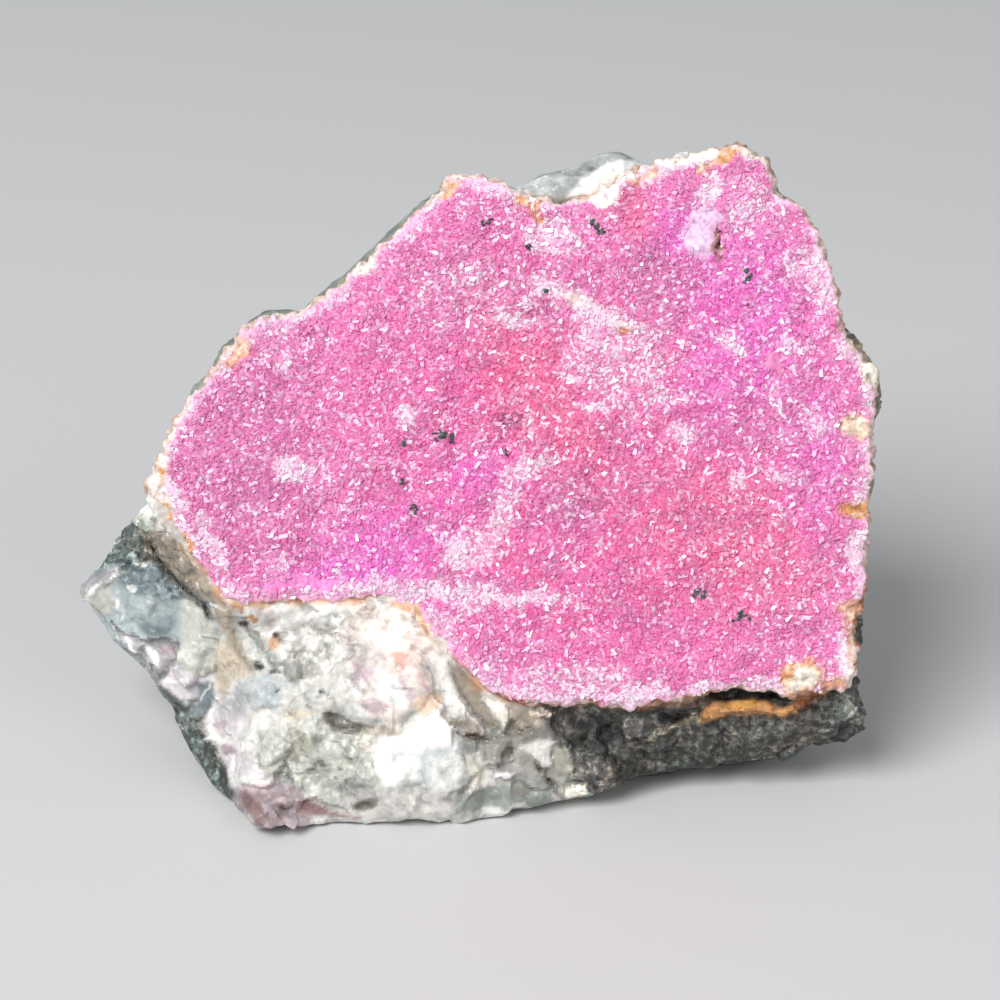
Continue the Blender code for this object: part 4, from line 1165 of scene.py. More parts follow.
# Where pale crystals stand among the pink, the palest of them partly painted glints: across, up, half
# length, half width, turn, strength and share, which is below 0 where even the usual few are missing
PALE_PATCHES = (
    (27.0, -6.0, 14.0, 12.0, -10, 1.0, -0.1),
    (6.0, 9.0, 9.0, 4.0, -60, 1.0, -0.04),
    (-3.4, 22.8, 6.0, 4.0, 0, 1.0, 0.16),
    (-8.0, -10.6, 16.0, 1.0, -4, 1.0, 0.6),
    (14.0, -22.4, 18.0, 0.9, 2, 1.0, 0.6),
    (13.6, 15.6, 7.2, 4.6, -40, 1.0, 0.27),
    (12.0, 18.0, 3.6, 1.2, -40, 1.0, 0.45),
    (2.8, 3.6, 2.2, 1.2, 40, 1.0, 0.55),
    (0.4, -1.0, 1.4, 4.0, -25, 1.0, 0.36),
    (-4.4, -6.2, 2.2, 1.6, 0, 1.0, 0.75),
    (-2.0, -5.8, 3.2, 2.2, 60, 1.0, 0.4),
    (-2.9, -11.8, 1.2, 1.5, 0, 1.0, 0.4),
    (24.2, 35.0, 1.6, 0.9, 50, 1.0, 0.7),
    (3.3, 8.3, 0.5, 1.5, 25, 1.0, 0.6),
    (26.4, 17.6, 2.2, 1.1, -30, 1.0, 0.5),
    (33.8, 17.8, 2.0, 0.8, -20, 1.0, 0.55),
    (34.6, 26.4, 1.2, 1.8, 30, 1.0, 0.45),
    (27.2, 1.8, 1.0, 1.1, 0, 1.0, 0.5),
    (31.4, 3.0, 1.4, 0.7, -30, 1.0, 0.55),
    (10.4, 10.8, 2.2, 0.6, 0, 1.0, 0.6),
    (18.2, 12.2, 1.4, 1.0, -30, 1.0, 0.55),
    (20.8, 7.6, 1.8, 1.1, 0, 1.0, 0.6),
    (-24.0, 3.6, 3.4, 0.8, -20, 1.0, 0.65),
    (-24.0, 16.0, 0.8, 0.8, 0, 1.0, 0.6),
    (-11.0, 9.2, 1.0, 0.8, 0, 1.0, 0.6),
    (2.0, 20.4, 2.0, 1.0, -10, 1.0, 0.6),
    (9.4, 22.4, 5.2, 1.1, -28, 1.0, 0.6),
    (6.0, 29.6, 3.4, 1.8, -20, 1.0, 0.5),
    (36.0, 8.6, 1.8, 1.4, 0, 1.0, 0.35),
    (35.0, 26.0, 1.6, 3.0, 30, 1.0, 0.4),
    (29.0, 33.4, 2.4, 3.0, 20, 1.0, 0.3),
    (33.0, 2.6, 2.2, 0.8, -30, 1.0, 0.5),
    (8.0, -20.4, 7.0, 1.2, 0, 1.0, 0.35),
    (-38.6, 1.4, 1.8, 5.0, 20, 1.0, 0.8),
    (-33.0, -4.6, 1.2, 3.6, 28, 1.0, 0.55),
)

# Bare places, where no crystals grow and the base of the crust shows: colour and corners
BARE_SPOTS = {
    "smooth_lilac": (LILAC, (
        (20.4, 30.2), (21.4, 32.2), (22.2, 33.4), (24.6, 33.0), (25.2, 32.2), (24.5, 30.6),
        (24.3, 29.0), (23.8, 27.4), (22.4, 27.2), (21.4, 28.0), (20.6, 29.2))),
    "lilac_arm": (PALE, (
        (22.0, 35.0), (23.4, 34.6), (24.2, 35.8), (25.0, 35.7), (24.7, 34.6), (24.1, 33.9),
        (22.4, 34.2))),
    "slit": (BROWN, (
        (24.8, 31.2), (25.2, 30.6), (25.0, 29.4), (25.6, 28.4), (25.4, 27.5), (24.8, 27.1), (24.3, 28.6),
        (24.5, 30.2))),
    "cream_chip_rim": (OCHRE, (
        (32.1, -19.6), (32.8, -18.7), (34.2, -18.5), (35.4, -17.9), (36.0, -18.8), (37.2, -19.8),
        (37.0, -20.8), (36.0, -21.4), (34.4, -22.3), (33.4, -22.7), (32.2, -21.9), (31.9, -20.6))),
    "cream_chip": (CREAM_QUARTZ, (
        (33.2, -20.8), (33.9, -19.4), (35.4, -18.7), (36.2, -19.7), (36.8, -20.0), (36.3, -20.9),
        (35.0, -21.4), (33.8, -22.2), (32.8, -21.8))),
    "salmon_corner": (SALMON, (
        (36.6, -21.5), (37.3, -20.5), (38.4, -20.0), (39.6, -20.2), (39.8, -21.4), (38.0, -22.0))),
    "pale_edge": (PALE, (
        (38.7, -15.8), (39.8, -15.6), (40.2, -17.6), (40.2, -19.8), (39.4, -20.2), (38.7, -19.0))),
    "salmon_band": (SALMON, (
        (38.2, -11.9), (40.2, -11.3), (42.0, -11.4), (41.6, -12.4), (41.2, -14.4), (40.7, -16.0),
        (40.5, -17.4), (40.5, -19.8), (39.9, -19.6), (39.6, -15.8), (38.8, -13.4))),
    "band_edge": (CREAM_QUARTZ, (
        (41.5, -14.0), (41.2, -16.2), (40.8, -17.0), (41.0, -22.0), (39.9, -21.4), (40.0, -18.4),
        (40.4, -16.2), (41.0, -14.4))),
    "ochre_notch": (OCHRE, (
        (38.4, -0.5), (40.6, -0.1), (42.4, -0.3), (42.6, -1.6), (41.4, -2.2), (39.8, -1.9),
        (38.8, -1.3))),
    "tan_notch": (TAN, (
        (38.8, 9.4), (40.2, 9.8), (41.6, 9.4), (42.6, 8.6), (42.4, 7.4), (41.0, 6.9), (39.4, 7.4),
        (38.6, 8.2))),
    "cream_knob": (CREAM_QUARTZ, (
        (41.0, 16.6), (42.4, 16.3), (43.4, 14.9), (43.4, 13.8), (42.4, 12.4), (41.6, 13.2),
        (41.0, 14.4), (40.8, 15.6))),
    "knob_spots": (TAUPE, ((41.8, 14.6), (42.5, 14.4), (42.6, 13.6), (42.1, 13.4), (41.6, 13.8))),
    "top_cream": (CREAM_QUARTZ, (
        (26.6, 40.8), (28.6, 40.4), (31.0, 39.2), (32.0, 37.6), (31.8, 35.8), (31.0, 36.4),
        (30.3, 38.0), (28.4, 38.8), (27.2, 39.0))),
    "top_ochre": (OCHRE, (
        (24.6, 39.6), (26.0, 40.2), (27.2, 39.6), (26.5, 38.6), (25.4, 37.9), (24.2, 38.3))),
    "top_peach": (SALMON, ((22.0, 37.9), (23.4, 38.4), (24.6, 38.1), (23.4, 37.2), (22.4, 37.1))),
    "white_rim": (WHITE_SPAR, (
        (16.4, 38.0), (17.4, 39.2), (21.0, 39.6), (22.0, 40.4), (25.0, 40.8), (24.5, 38.6),
        (22.2, 38.1), (19.6, 37.9), (17.4, 38.0))),
    "white_spar": (WHITE_SPAR, (
        (8.4, 35.4), (10.4, 36.8), (13.2, 38.4), (16.4, 38.4), (16.0, 37.2), (15.0, 36.4), (13.4, 36.0),
        (13.6, 34.4), (12.0, 33.1), (10.4, 33.8), (9.0, 34.6))),
    "spar_stain": (SALMON, ((13.4, 36.1), (15.6, 36.4), (17.6, 37.8), (17.8, 36.6), (15.4, 35.7))),
    "left_stain": (OCHRE, (
        (1.2, 34.4), (2.2, 35.4), (3.0, 34.4), (4.6, 34.0), (5.4, 34.6), (5.0, 33.6), (4.3, 32.6),
        (5.6, 31.5), (4.6, 31.2), (3.4, 32.4), (3.2, 33.2), (2.0, 33.6))),
    "edge_stain": (PEACH_STAIN, ((-7.6, 35.0), (-6.0, 36.6), (-4.4, 36.0), (-5.4, 34.6), (-6.4, 33.8))),
    "left_chip_stain": (OCHRE, (
        (-37.2, -3.6), (-36.0, -3.4), (-35.1, -4.4), (-34.6, -5.9), (-35.6, -5.8), (-36.3, -4.8))),
    "left_chip": (CREAM_QUARTZ, ((-36.4, -4.4), (-35.7, -4.6), (-35.4, -5.4), (-36.0, -5.2))),
    "vein_stain": (OCHRE, ((13.0, 19.8), (14.4, 19.4), (14.6, 18.8), (13.4, 18.9))),
    "vein": (VEIN_SPAR, (
        (6.0, 23.6), (7.6, 23.9), (9.8, 23.2), (11.2, 22.0), (13.2, 20.6), (15.0, 20.1), (16.6, 19.7),
        (14.6, 19.6), (12.8, 20.0), (11.0, 21.2), (9.0, 21.9), (7.0, 22.8))),
    "vein_grey": (GREY_SPAR, (
        (7.2, 22.9), (8.4, 23.3), (9.6, 22.8), (9.0, 22.4), (7.8, 22.3))),
    "smooth_strip": (SMOOTH_PINK, (
        (-28.6, -9.7), (-26.0, -9.0), (-23.4, -8.4), (-19.6, -8.7), (-16.6, -9.4), (-19.0, -10.0),
        (-23.0, -9.8), (-26.4, -10.3))),
    "smooth_pink": (DUSKY, (
        (30.2, 16.2), (31.2, 17.0), (32.2, 16.2), (32.4, 14.6), (31.6, 13.8), (30.6, 14.8))),
    "left_rim": (CREAMY_SPAR, (
        (-41.4, -0.6), (-40.5, 1.0), (-39.4, 3.6), (-38.4, 6.6), (-37.0, 9.8), (-35.4, 12.2),
        (-34.9, 11.8), (-36.4, 9.0), (-37.5, 6.0), (-37.8, 3.8), (-38.0, 1.8), (-37.4, 0.2),
        (-37.0, -2.0), (-36.4, -3.6), (-37.6, -3.6), (-39.0, -2.4), (-40.2, -1.6))),
    "left_rim_stain": (OCHRE, ((-39.2, 3.4), (-38.8, 4.2), (-38.1, 3.4), (-38.0, 2.6), (-38.6, 2.0))),
    "rim_stain_low": (PEACH_STAIN, (
        (-38.8, -0.6), (-38.2, 0.0), (-37.6, -1.4), (-37.2, -2.8), (-38.2, -2.6))),
    "upper_chip": (GREY_SPAR, (
        (-33.6, 14.2), (-32.4, 16.4), (-31.0, 17.6), (-29.6, 19.0), (-29.3, 17.8), (-30.8, 16.0),
        (-32.0, 14.7))),
    "upper_chip_stain": (SALMON, (
        (-29.8, 18.2), (-28.7, 18.6), (-28.4, 17.0), (-29.4, 15.8), (-31.2, 15.0), (-30.6, 16.4))),
    "sliver_cream": (CREAM_QUARTZ, (
        (-17.0, 26.0), (-15.0, 28.0), (-13.6, 28.8), (-13.8, 27.0), (-14.6, 25.6), (-15.8, 25.7))),
}

# Colours of the bare spots that are compact and smooth; the others are crumbly
SMOOTH_SPAR = (LILAC, PALE, WHITE_SPAR, VEIN_SPAR, SMOOTH_PINK, DUSKY, BROWN)

# Forms of the druse, given as those of the rock
DRUSE_FORMS = {
    "vein_ridge": (13.4, 20.4, 6.4, 1.0, -27, 0.6, 1.0),
    "dimple": (0.9, 8.6, 1.9, 1.7, 0, -0.5, 0.9),
    "slit": (24.9, 29.0, 2.0, 0.5, 82, -1.6, 0.6),
    "slit_lip": (22.6, 30.2, 2.2, 3.4, 0, 0.6, 0.5),
    "long_dip": (18.0, 26.0, 6.0, 2.4, -30, -0.6, 1.0),
    "arch": (2.0, 22.0, 5.0, 1.2, 12, 0.5, 1.0),
    "cream_chip": (34.8, -20.4, 2.6, 2.0, 10, 0.7, 0.35),
    "top_dip": (8.0, 32.0, 5.0, 2.4, 10, -0.6, 1.0),
    "white_spar": (12.4, 35.8, 3.8, 1.6, 25, 0.6, 0.5),
}


def bare_share(rows):
    """1 in the bare spots and 0 outside them, but for grains that grow here and there in them."""
    outlines = ragged(rows)
    gap = np.min([outline_gap(outlines, corners) for _, corners in BARE_SPOTS.values()], axis=0)
    grains = noise_at(rows, 0.8, 31.0) + noise_at(rows, 2.0, 33.0) * 0.5
    return smooth_step(0.2, -0.2, gap + np.maximum(grains - 0.25, 0) * 2)


def in_smooth_spots(rows):
    """1 in the bare spots that are compact and smooth, 0 elsewhere."""
    smooth = [corners for paint, corners in BARE_SPOTS.values() if paint in SMOOTH_SPAR]
    gap = np.min([outline_gap(ragged(rows), corners) for corners in smooth], axis=0)
    return smooth_step(0.2, -0.2, gap)


def edge_share(rows, facing):
    """1 on the crust's broken edge and back, and 0 on its face."""
    return smooth_step(0.8, 0.5, facing[:, 2] + noise_at(rows, 1.5, 2.0) * 0.2)


def crust_shape():
    """The crust's mesh and places, how far in they lie, and how bare and crumbly it is there."""
    mesh = evened(merged_copy("dolomite_druse"), CRUST_GRAIN)
    rows = places(mesh)
    fit_outline(rows, DRUSE_PULLS, 0.5)
    put_places(mesh, rows)
    mesh = evened(mesh, CRUST_GRAIN)
    walls = tree_of(mesh, lambda facing: abs(facing.z) < 0.5)
    rows = places(mesh)
    facing = facings(mesh)
    edge = distance_to(walls, rows, 6.0)
    bare = bare_share(rows)
    crumbly = 1 - in_smooth_spots(rows)
    broken = edge_share(rows, facing)
    uneven = 0.3 + noise_at(rows, 2.0) * 0.35 + noise_at(rows, 0.9, 4.0) * 0.2
    level = smooth_step(0.5, 0.9, facing[:, 2])
    uneven += (noise_at(rows, 6.0, 5.0) * 0.5 + noise_at(rows, 3.0, 3.0) * 0.25) * level
    uneven += facet_height(rows, *BARE_FACETS) * bare * (0.3 + 0.7 * crumbly)
    uneven += facet_height(rows, *EDGE_FACETS) * broken
    uneven += noise_at(rows, 0.7, 41.0) * 0.25 * np.maximum(bare * crumbly, broken)
    rows += facing * uneven[:, None]
    rows[:, 2] -= SEAT_DEPTH * smooth_step(-0.3, -0.8, facing[:, 2])
    work_forms(rows, facing, DRUSE_FORMS)
    put_places(mesh, rows)
    return mesh, rows, edge, bare, crumbly


def druse_colours(rows, edge):
    """Colours of the druse's face, and the share of pale crystals at each place."""
    inward = edge + noise_at(rows, 1.0) * 0.6 + noise_at(rows, 4.0) * 1.5
    base = np.tile(np.array(colour(PINK)), (len(rows), 1))
    result = painted(rows, base, DRUSE_ZONES, 0.6, 0.15)
    dusk = smooth_step(0.05, 0.4, noise_at(rows, 4.0, 12.0))
    result = tinted(result, DUSKY, dusk * 0.5)
    strewn = noise_at(rows, 1.6, 15.0) + noise_at(rows, 7.0, 17.0) * 0.4
    pale = smooth_step(0.3, 0.6, strewn) * 0.24
    pale = painted(rows, pale[:, None], PALE_PATCHES, 0.35, 0.5)[:, 0]
    rim = smooth_step(1.5, 0.2, inward) * (0.6 + 0.4 * smooth_step(-6, 4, rows[:, 0]))
    pale = np.maximum(pale, rim * 0.6)
    return tinted(result, PALE, np.maximum(pale * 0.7, rim * 0.75)), pale


def edge_colours(rows):
    """Colours of the crust's broken edge: creamy and tan, and rusty, most of all low down."""
    tan = smooth_step(-0.2, 0.3, noise_at(rows, 2.5, 22.0))
    low_down = 0.3 + 0.7 * smooth_step(-4, -9, rows[:, 1])
    rust = smooth_step(-0.2, 0.3, noise_at(rows, 4.0, 8.0)) * low_down
    return tinted(mixed(CREAMY_SPAR, TAN, tan), RUST, rust)


def build_crust(material):
    """The crust under the crystals, with its colours and where crystals grow on it."""
    mesh, rows, edge, bare, crumbly = crust_shape()
    facing = facings(mesh)
    result, pale = druse_colours(rows, edge)
    result = spotted(result, ragged(rows), BARE_SPOTS)
    side = edge_share(rows, facing)
    result = tinted(result, edge_colours(rows), side)
    speckled = np.maximum(bare * crumbly, side)
    grains = noise_at(rows, 0.7, 41.0)
    result = tinted(result, CREAM_QUARTZ, speckled * smooth_step(0.02, 0.35, grains) * 0.6)
    result = tinted(result, BROWN, speckled * smooth_step(-0.05, -0.4, grains) * 0.4)
    keep(mesh, "pale", pale)
    keep(mesh, "druse_colour", result)
    grown = smooth_step(0.2, 1.0, edge + noise_at(rows, 1.5, 43.0) * 0.4)
    keep(mesh, "growth", grown * smooth_step(0.45, 0.75, facing[:, 2]) * (1 - bare))
    mesh.shade_smooth()
    crust = piece("druse_crust", mesh, material)
    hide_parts("dolomite_druse")
    return crust


def rhomb():
    """One dolomite crystal: a cube stretched to 1.5 times its size and skewed as dolomite cleaves."""
    body = bmesh.new()
    bmesh.ops.create_cube(body, size=1.0)
    skew = Matrix(((1.5, 0.2, 0.15), (0.0, 0.62, 0.12), (0.0, 0.0, 0.5)))
    bmesh.ops.transform(body, matrix=skew.to_4x4(), verts=body.verts)
    return in_scene("rhomb", mesh_of(body, "rhomb"))


def crystal_growth(seed_crystal, spacing, sizes, tilt, tints, seed):
    """Geometry nodes that set single crystals on a crust, each turned, tilted and sized by chance."""
    tree = bpy.data.node_groups.new("crystal_growth", "GeometryNodeTree")
    tree.interface.new_socket("Crust", in_out="INPUT", socket_type="NodeSocketGeometry")
    tree.interface.new_socket("Crystals", in_out="OUTPUT", socket_type="NodeSocketGeometry")
    ground = add(tree, "NodeGroupInput")
    growth = add(tree, "GeometryNodeInputNamedAttribute", {"Name": "growth"}, data_type="FLOAT")
    density = CROWDING / (spacing * spacing)
    nuclei = add(
        tree, "GeometryNodeDistributePointsOnFaces",
        {"Mesh": ground, "Distance Min": spacing, "Density Max": density,
         "Density Factor": growth, "Seed": seed},
        distribute_method="POISSON",
    )
    turn = add(
        tree, "FunctionNodeRandomValue",
        {"Min": (-tilt, -tilt, -math.pi), "Max": (tilt, tilt, math.pi), "Seed": seed + 1},
        data_type="FLOAT_VECTOR",
    )
    turned = add(
        tree, "FunctionNodeRotateRotation",
        {"Rotation": nuclei.outputs["Rotation"], "Rotate By": turn},
        rotation_space="LOCAL",
    )
    size = add(
        tree, "FunctionNodeRandomValue",
        {"Min": sizes[0], "Max": sizes[1], "Seed": seed + 2}, data_type="FLOAT",
    )
    crystal = add(tree, "GeometryNodeObjectInfo", {"Object": seed_crystal})
    placed = add(
        tree, "GeometryNodeInstanceOnPoints",
        {"Points": nuclei.outputs["Points"], "Instance": crystal.outputs["Geometry"],
         "Rotation": turned, "Scale": size.outputs[1]},
    )
    shade = add(
        tree, "FunctionNodeRandomValue", {"Min": tints[0], "Max": tints[1], "Seed": seed + 3},
        data_type="FLOAT",
    )
    marked = add(
        tree, "GeometryNodeStoreNamedAttribute",
        {"Geometry": placed, "Name": "tint", "Value": shade.outputs[1]},
        data_type="FLOAT", domain="INSTANCE",
    )
    real = add(tree, "GeometryNodeRealizeInstances", {"Geometry": marked})
    add(tree, "NodeGroupOutput", {0: real})
    return tree


def flat_map(mesh):
    """Maps the piece as seen square to the druse, in a UV map of its own for the crystals' colours."""
    rows = places(mesh)[:, :2]
    low_corner = rows.min(axis=0)
    span = (rows.max(axis=0) - low_corner).max()
    corners = np.empty(len(mesh.loops), int)
    mesh.loops.foreach_get("vertex_index", corners)
    layer = mesh.uv_layers.new(name="OFBake")
    layer.uv.foreach_set("vector", ((rows - low_corner) / span)[corners].astype(np.float32).ravel())


def grow_crystals(crust, material):
    """The druse's crystals, in three sizes that each make one piece."""
    seed_crystal = rhomb()
    for name, (spacing, sizes, tilt, tints, seed) in CRYSTALS.items():
        ground = in_scene(name, crust.data)
        growth = ground.modifiers.new("growth", "NODES")
        growth.node_group = crystal_growth(seed_crystal, spacing, sizes, tilt, tints, seed)
        mesh = worked_out(ground, name)
        flat_map(mesh)
        piece(name, mesh, material)
    bpy.data.objects.remove(seed_crystal)


# Dark crystals strewn on the druse: across, up, how far they spread, how many
DARK_SPECKS = (
    (-6.6, 7.5, 1.1, 12),
    (-5.5, 7.0, 0.4, 4),
    (-10.9, 6.5, 0.3, 3),
    (-11.4, 2.1, 0.5, 5),
    (-10.0, -1.0, 0.4, 4),
    (0.7, 5.4, 0.3, 3),
    (22.4, -10.3, 0.5, 5),
    (23.2, -10.8, 0.4, 4),
    (27.5, -13.3, 0.8, 9),
    (28.2, 25.3, 0.6, 8),
    (11.2, 30.8, 0.7, 7),
    (10.6, 31.4, 0.4, 3),
    (-1.5, 31.9, 0.6, 4),
    (3.2, 28.7, 0.5, 4),
    (5.4, 23.8, 0.3, 3),
)


def grow_specks(material, crust):
    """Small clusters of dark crystals, half sunk in the druse."""
    ground = tree_of(crust.data)
    eye = Vector(EYE_IN_FACE)
    chance = random.Random(SPECK_SEED)
    body = bmesh.new()
    for across, up, spread, count in DARK_SPECKS:
        for _ in range(count):
            aim_at = Vector((chance.gauss(across, spread / 2), chance.gauss(up, spread / 2), 0))
            spot = ground.ray_cast(eye, aim_at - eye)[0] + Vector((0, 0, 0.25))
            turn = Matrix.Rotation(chance.uniform(0, 3.1), 4, (0.3, 0.2, 0.9))
            lengths = [chance.uniform(0.3, 0.6), chance.uniform(0.18, 0.34), 0.3]
            matrix = FACE_TO_WORLD @ Matrix.Translation(spot) @ turn @ Matrix.Diagonal(lengths + [1])
            bmesh.ops.create_icosphere(body, subdivisions=1, radius=0.7, matrix=matrix)
    piece("dark_specks", mesh_of(body, "dark_specks"), material)


def set_ramp(ramp, stops):
    """Gives a colour ramp its stops: a place from 0 to 1, and a hex colour."""
    elements = ramp.color_ramp.elements
    while len(elements) < len(stops):
        elements.new(0.5)
    for element, (spot, hex_code) in zip(elements, stops):
        element.position = spot
        element.color = colour(hex_code)


def new_material(name):
    """A new material, its tree of nodes and the shader in it."""
    material = bpy.data.materials.new(name)
    material.use_nodes = True
    return material, material.node_tree, material.node_tree.nodes["Principled BSDF"]


def quartz_light(tree, cloud, clump, grain, sugary):
    """Milky clouds in the quartz, and grains that stand out lighter and darker where it is sugary."""
    milk = add(tree, "ShaderNodeValToRGB", {"Fac": cloud})
    set_ramp(milk, ((0.33, "#c6cccd"), (0.44, "#e4e4e2"), (0.54, "#fbfaf7"), (0.68, "#ffffff")))
    mottle = add(
        tree, "ShaderNodeMapRange",
        {"Value": clump, "From Min": 0.32, "From Max": 0.68, "To Min": 0.82, "To Max": 1.12},
    )
    darkest = add(tree, "ShaderNodeMapRange", {"Value": sugary, "To Min": 0.94, "To Max": 0.72})
    lightest = add(tree, "ShaderNodeMapRange", {"Value": sugary, "To Min": 1.04, "To Max": 1.32})
    sugar = add(tree, "ShaderNodeMapRange", {"Value": grain, "To Min": darkest, "To Max": lightest})
    light = add(tree, "ShaderNodeMath", {0: mottle, 1: sugar}, operation="MULTIPLY")
    return add(tree, "ShaderNodeVectorMath", {0: milk.outputs["Color"], 1: light}, operation="MULTIPLY")


def dolostone_light(tree, cloud, clump, grain):
    """Dark stone with a few light grains, a little greener or browner from place to place."""
    reach = add(tree, "ShaderNodeMapRange", {"Value": clump, "From Min": 0.36, "From Max": 0.72})
    peaks = add(tree, "ShaderNodeMath", {0: reach, 1: 2.4}, operation="POWER")
    clumps = add(tree, "ShaderNodeMath", {0: peaks, 1: 5.2, 2: 0.5}, operation="MULTIPLY_ADD")
    grains = add(tree, "ShaderNodeMapRange", {"Value": grain, "To Min": 0.5, "To Max": 1.6})
    light = add(tree, "ShaderNodeMath", {0: clumps, 1: grains}, operation="MULTIPLY")
    hue = add(tree, "ShaderNodeValToRGB", {"Fac": cloud})
    set_ramp(hue, ((0.4, "#d8e6e0"), (0.5, "#e4e2de"), (0.6, "#eadfd2")))
    return add(tree, "ShaderNodeVectorMath", {0: hue.outputs["Color"], 1: light}, operation="MULTIPLY")


def grain_faces(tree, place, clump, loose):
    """Turns every grain's face its own way, so that some catch the light."""
    bent = add(
        tree, "ShaderNodeVectorMath", {0: clump, 1: (0.5 * MM,) * 3, 2: place},
        operation="MULTIPLY_ADD",
    )
    faces = add(tree, "ShaderNodeTexVoronoi", {"Vector": bent, "Scale": 1 / GLINT_SIZE})
    centred = add(
        tree, "ShaderNodeVectorMath", {0: faces.outputs["Color"], 1: (0.5, 0.5, 0.5)},
        operation="SUBTRACT",
    )
    turn = add(tree, "ShaderNodeMapRange", {"Value": loose, "To Min": 0.25, "To Max": 0.8})
    shape = add(tree, "ShaderNodeNewGeometry").outputs["Normal"]
    turned = add(
        tree, "ShaderNodeVectorMath",
        {0: centred, 1: turn, 2: shape}, operation="MULTIPLY_ADD",
    )
    return add(tree, "ShaderNodeVectorMath", {0: turned}, operation="NORMALIZE")


def rock_material():
    """Broken quartz and dolostone.

    The quartz is glassy and milky to the eye, and sugary in places. The dolostone is dull and
    finely grained, with small glints.
    """
    material, tree, shader = new_material("broken_quartz_and_dolostone")
    tint = add(tree, "ShaderNodeAttribute", attribute_name="rock_colour")
    quartz = add(tree, "ShaderNodeAttribute", attribute_name="quartz").outputs["Fac"]
    fleck = add(tree, "ShaderNodeAttribute", attribute_name="fleck").outputs["Fac"]
    sugary = add(tree, "ShaderNodeAttribute", attribute_name="sugar").outputs["Fac"]
    place = add(tree, "ShaderNodeTexCoord").outputs["Object"]
    cloud = add(
        tree, "ShaderNodeTexNoise",
        {"Vector": place, "Scale": 1 / CLOUD_SIZE, "Detail": 6.0, "Roughness": 0.62, "Distortion": 0.8},
    ).outputs["Fac"]
    clump = add(
        tree, "ShaderNodeTexNoise",
        {"Vector": place, "Scale": 1 / CLUMP_SIZE, "Detail": 5.0, "Roughness": 0.68, "Distortion": 0.5},
    ).outputs["Fac"]
    grain = add(
        tree, "ShaderNodeTexVoronoi", {"Vector": place, "Scale": 1 / GRAIN_SIZE}
    ).outputs["Color"]
    light = add(
        tree, "ShaderNodeMix",
        {0: fleck, 6: quartz_light(tree, cloud, clump, grain, sugary),
         7: dolostone_light(tree, cloud, clump, grain)},
        data_type="RGBA",
    )
    toned = add(
        tree, "ShaderNodeVectorMath",
        {0: tint.outputs["Color"], 1: light.outputs[2]}, operation="MULTIPLY",
    )
    rough = add(tree, "ShaderNodeMapRange", {"Value": quartz, "To Min": 0.6, "To Max": 0.3})
    soft = add(tree, "ShaderNodeMath", {0: quartz, 1: 0.25}, operation="MULTIPLY")
    loose = add(tree, "ShaderNodeMath", {0: sugary, 1: fleck}, operation="MAXIMUM")
    bump = add(
        tree, "ShaderNodeBump",
        {"Height": clump, "Strength": 0.5, "Distance": 0.3 * MM,
         "Normal": grain_faces(tree, place, clump, loose)},
    )
    set_inputs(tree, shader, {
        "Base Color": toned, "Roughness": rough, "Normal": bump,
        "Subsurface Weight": soft, "Subsurface Radius": (1.0, 1.0, 1.0), "Subsurface Scale": 1.0 * MM,
    })
    return material


def crust_material():
    """Compact dolomite, grown as the base of the druse: dull and sugary to the eye."""
    material, tree, shader = new_material("compact_pink_dolomite")
    tint = add(tree, "ShaderNodeAttribute", attribute_name="druse_colour")
    place = add(tree, "ShaderNodeTexCoord")
    grain = add(
        tree, "ShaderNodeTexNoise",
        {"Vector": place.outputs["Object"], "Scale": 1 / SPAR_SIZE, "Detail": 3.0},
    ).outputs["Fac"]
    light = add(
        tree, "ShaderNodeMapRange",
        {"Value": grain, "From Min": 0.3, "From Max": 0.7, "To Min": 0.66, "To Max": 1.3},
    )
    deep = add(tree, "ShaderNodeGamma", {"Color": tint.outputs["Color"], "Gamma": 1.15})
    toned = add(tree, "ShaderNodeVectorMath", {0: deep, 1: light}, operation="MULTIPLY")
    dull = add(tree, "ShaderNodeMapRange", {"Value": grain, "To Min": 0.4, "To Max": 0.6})
    bump = add(tree, "ShaderNodeBump", {"Height": grain, "Strength": 0.8, "Distance": 0.2 * MM})
    set_inputs(tree, shader, {"Base Color": toned, "Roughness": dull, "Normal": bump})
    return material


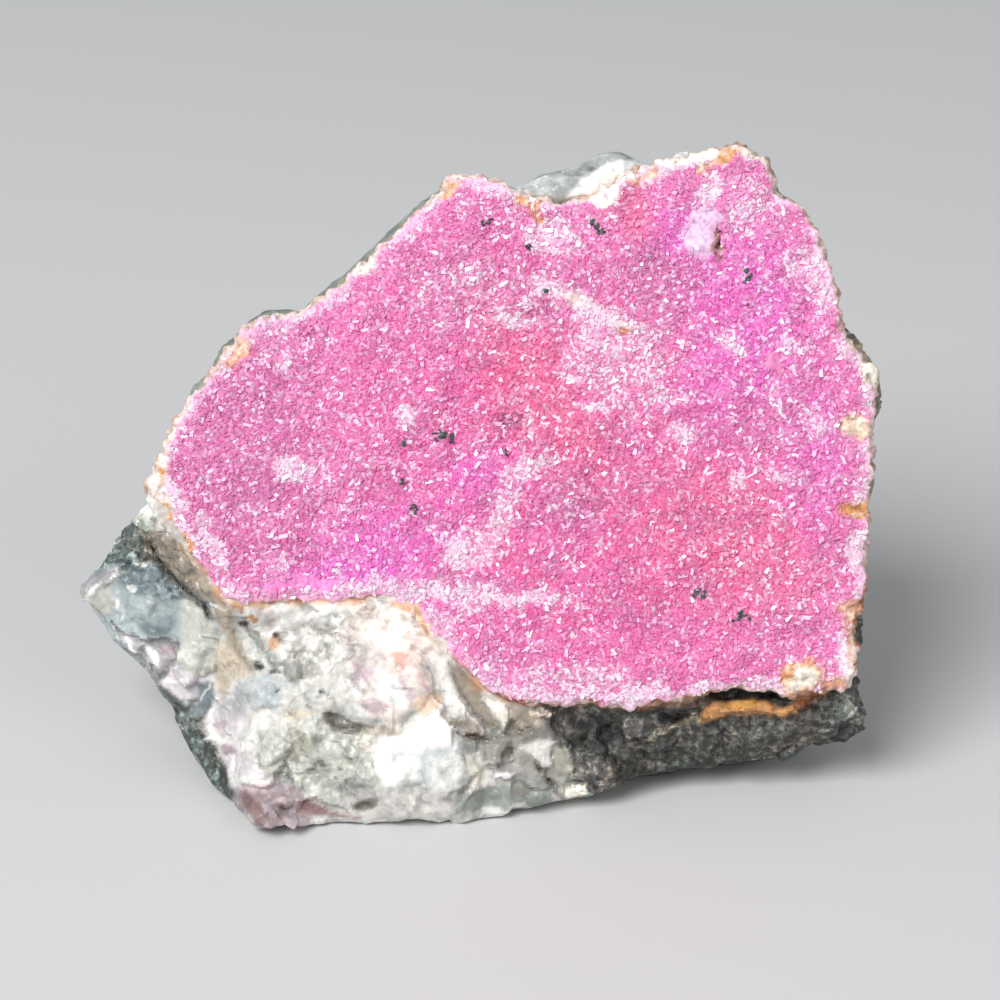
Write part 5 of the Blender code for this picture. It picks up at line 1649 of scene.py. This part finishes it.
def crystal_material():
    """Dolomite crystals, grown free: glassy rhombs that catch the light; the palest are nearly white,
    partly pale crystals and partly painted glints.
    """
    material, tree, shader = new_material("glassy_pink_dolomite")
    hue = add(tree, "ShaderNodeAttribute", attribute_name="druse_colour")
    tint = add(tree, "ShaderNodeAttribute", attribute_name="tint").outputs["Fac"]
    pale = add(tree, "ShaderNodeAttribute", attribute_name="pale").outputs["Fac"]
    depth = add(tree, "ShaderNodeMapRange", {"Value": tint, "To Min": 1.35, "To Max": 0.85})
    toned = add(tree, "ShaderNodeGamma", {"Color": hue.outputs["Color"], "Gamma": depth})
    # Crystals of the highest tints, and more where the druse is pale, turn nearly white: partly pale
    # crystals and partly painted glints on their faces
    chance = add(tree, "ShaderNodeMath", {0: tint, 1: pale}, operation="ADD")
    above = add(tree, "ShaderNodeMapRange", {"Value": chance, "From Min": 0.5, "From Max": 1.0})
    white = add(tree, "ShaderNodeMath", {0: above, 1: 3.2}, operation="POWER")
    paled = add(tree, "ShaderNodeMix", {0: white, 6: toned, 7: colour(WHITE_PINK_AND_GLINT)}, data_type="RGBA")
    place = add(tree, "ShaderNodeTexCoord").outputs["Object"]
    growth = add(
        tree, "ShaderNodeTexNoise", {"Vector": place, "Scale": 1 / GROWTH_SIZE, "Detail": 2.0}
    ).outputs["Fac"]
    rough = add(tree, "ShaderNodeMapRange", {"Value": growth, "To Min": 0.14, "To Max": 0.3})
    bump = add(tree, "ShaderNodeBump", {"Height": growth, "Strength": 0.3, "Distance": 0.03 * MM})
    set_inputs(tree, shader, {
        "Base Color": paled.outputs[2], "Roughness": rough, "Normal": bump, "IOR": DOLOMITE_IOR,
        "Subsurface Weight": 0.6, "Subsurface Radius": (1.0, 0.4, 0.65), "Subsurface Scale": 0.6 * MM,
    })
    return material


def speck_material():
    """Small crystals of a dark green mineral, grown on the druse: nearly black, with bright glints."""
    material, tree, shader = new_material("dark_green_crystals")
    place = add(tree, "ShaderNodeTexCoord").outputs["Object"]
    grain = add(
        tree, "ShaderNodeTexNoise", {"Vector": place, "Scale": 1 / SPAR_SIZE, "Detail": 2.0}
    ).outputs["Fac"]
    tones = add(tree, "ShaderNodeValToRGB", {"Fac": grain})
    set_ramp(tones, ((0.35, "#1f2a28"), (0.65, "#44605a")))
    rough = add(tree, "ShaderNodeMapRange", {"Value": grain, "To Min": 0.15, "To Max": 0.45})
    bump = add(tree, "ShaderNodeBump", {"Height": grain, "Strength": 0.4, "Distance": 0.05 * MM})
    set_inputs(tree, shader, {"Base Color": tones, "Roughness": rough, "Normal": bump})
    return material


def aim(obj, target):
    """Turns a light or a camera towards the target."""
    obj.rotation_euler = (target - obj.location).to_track_quat("-Z", "Y").to_euler()


def build_stage():
    """A plain pale floor, a large soft light from the upper left and a weak fill."""
    body = bmesh.new()
    bmesh.ops.create_grid(body, x_segments=1, y_segments=1, size=FLOOR_REACH)
    floor = in_scene("floor", mesh_of(body, "floor"))
    material, tree, shader = new_material("pale_floor")
    set_inputs(tree, shader, {"Base Color": colour(FLOOR_GREY), "Roughness": 0.8})
    floor.data.materials.append(material)

    for name, (place, size, power) in LIGHTS.items():
        lamp = bpy.data.lights.new(name, "AREA")
        lamp.shape = "DISK"
        lamp.size = size
        lamp.energy = power
        obj = in_scene(name, lamp)
        obj.location = place
        aim(obj, face_middle)

    world = bpy.data.worlds.new("pale_room")
    world.use_nodes = True
    world.node_tree.nodes["Background"].inputs["Color"].default_value = colour(ROOM_WHITE)
    world.node_tree.nodes["Background"].inputs["Strength"].default_value = ROOM_BRIGHTNESS
    bpy.context.scene.world = world
    bpy.context.scene.view_settings.view_transform = "Standard"


def build_camera():
    """The camera, where the eye of the photo was."""
    camera = bpy.data.cameras.new("eye")
    camera.lens = LENS
    obj = in_scene("eye", camera)
    obj.location = EYE
    aim(obj, face_middle)
    bpy.context.scene.camera = obj


crust = build_crust(crust_material())
build_rock(rock_material(), tree_of(merged_copy("dolomite_druse")))
grow_crystals(crust, crystal_material())
grow_specks(speck_material(), crust)
build_stage()
build_camera()
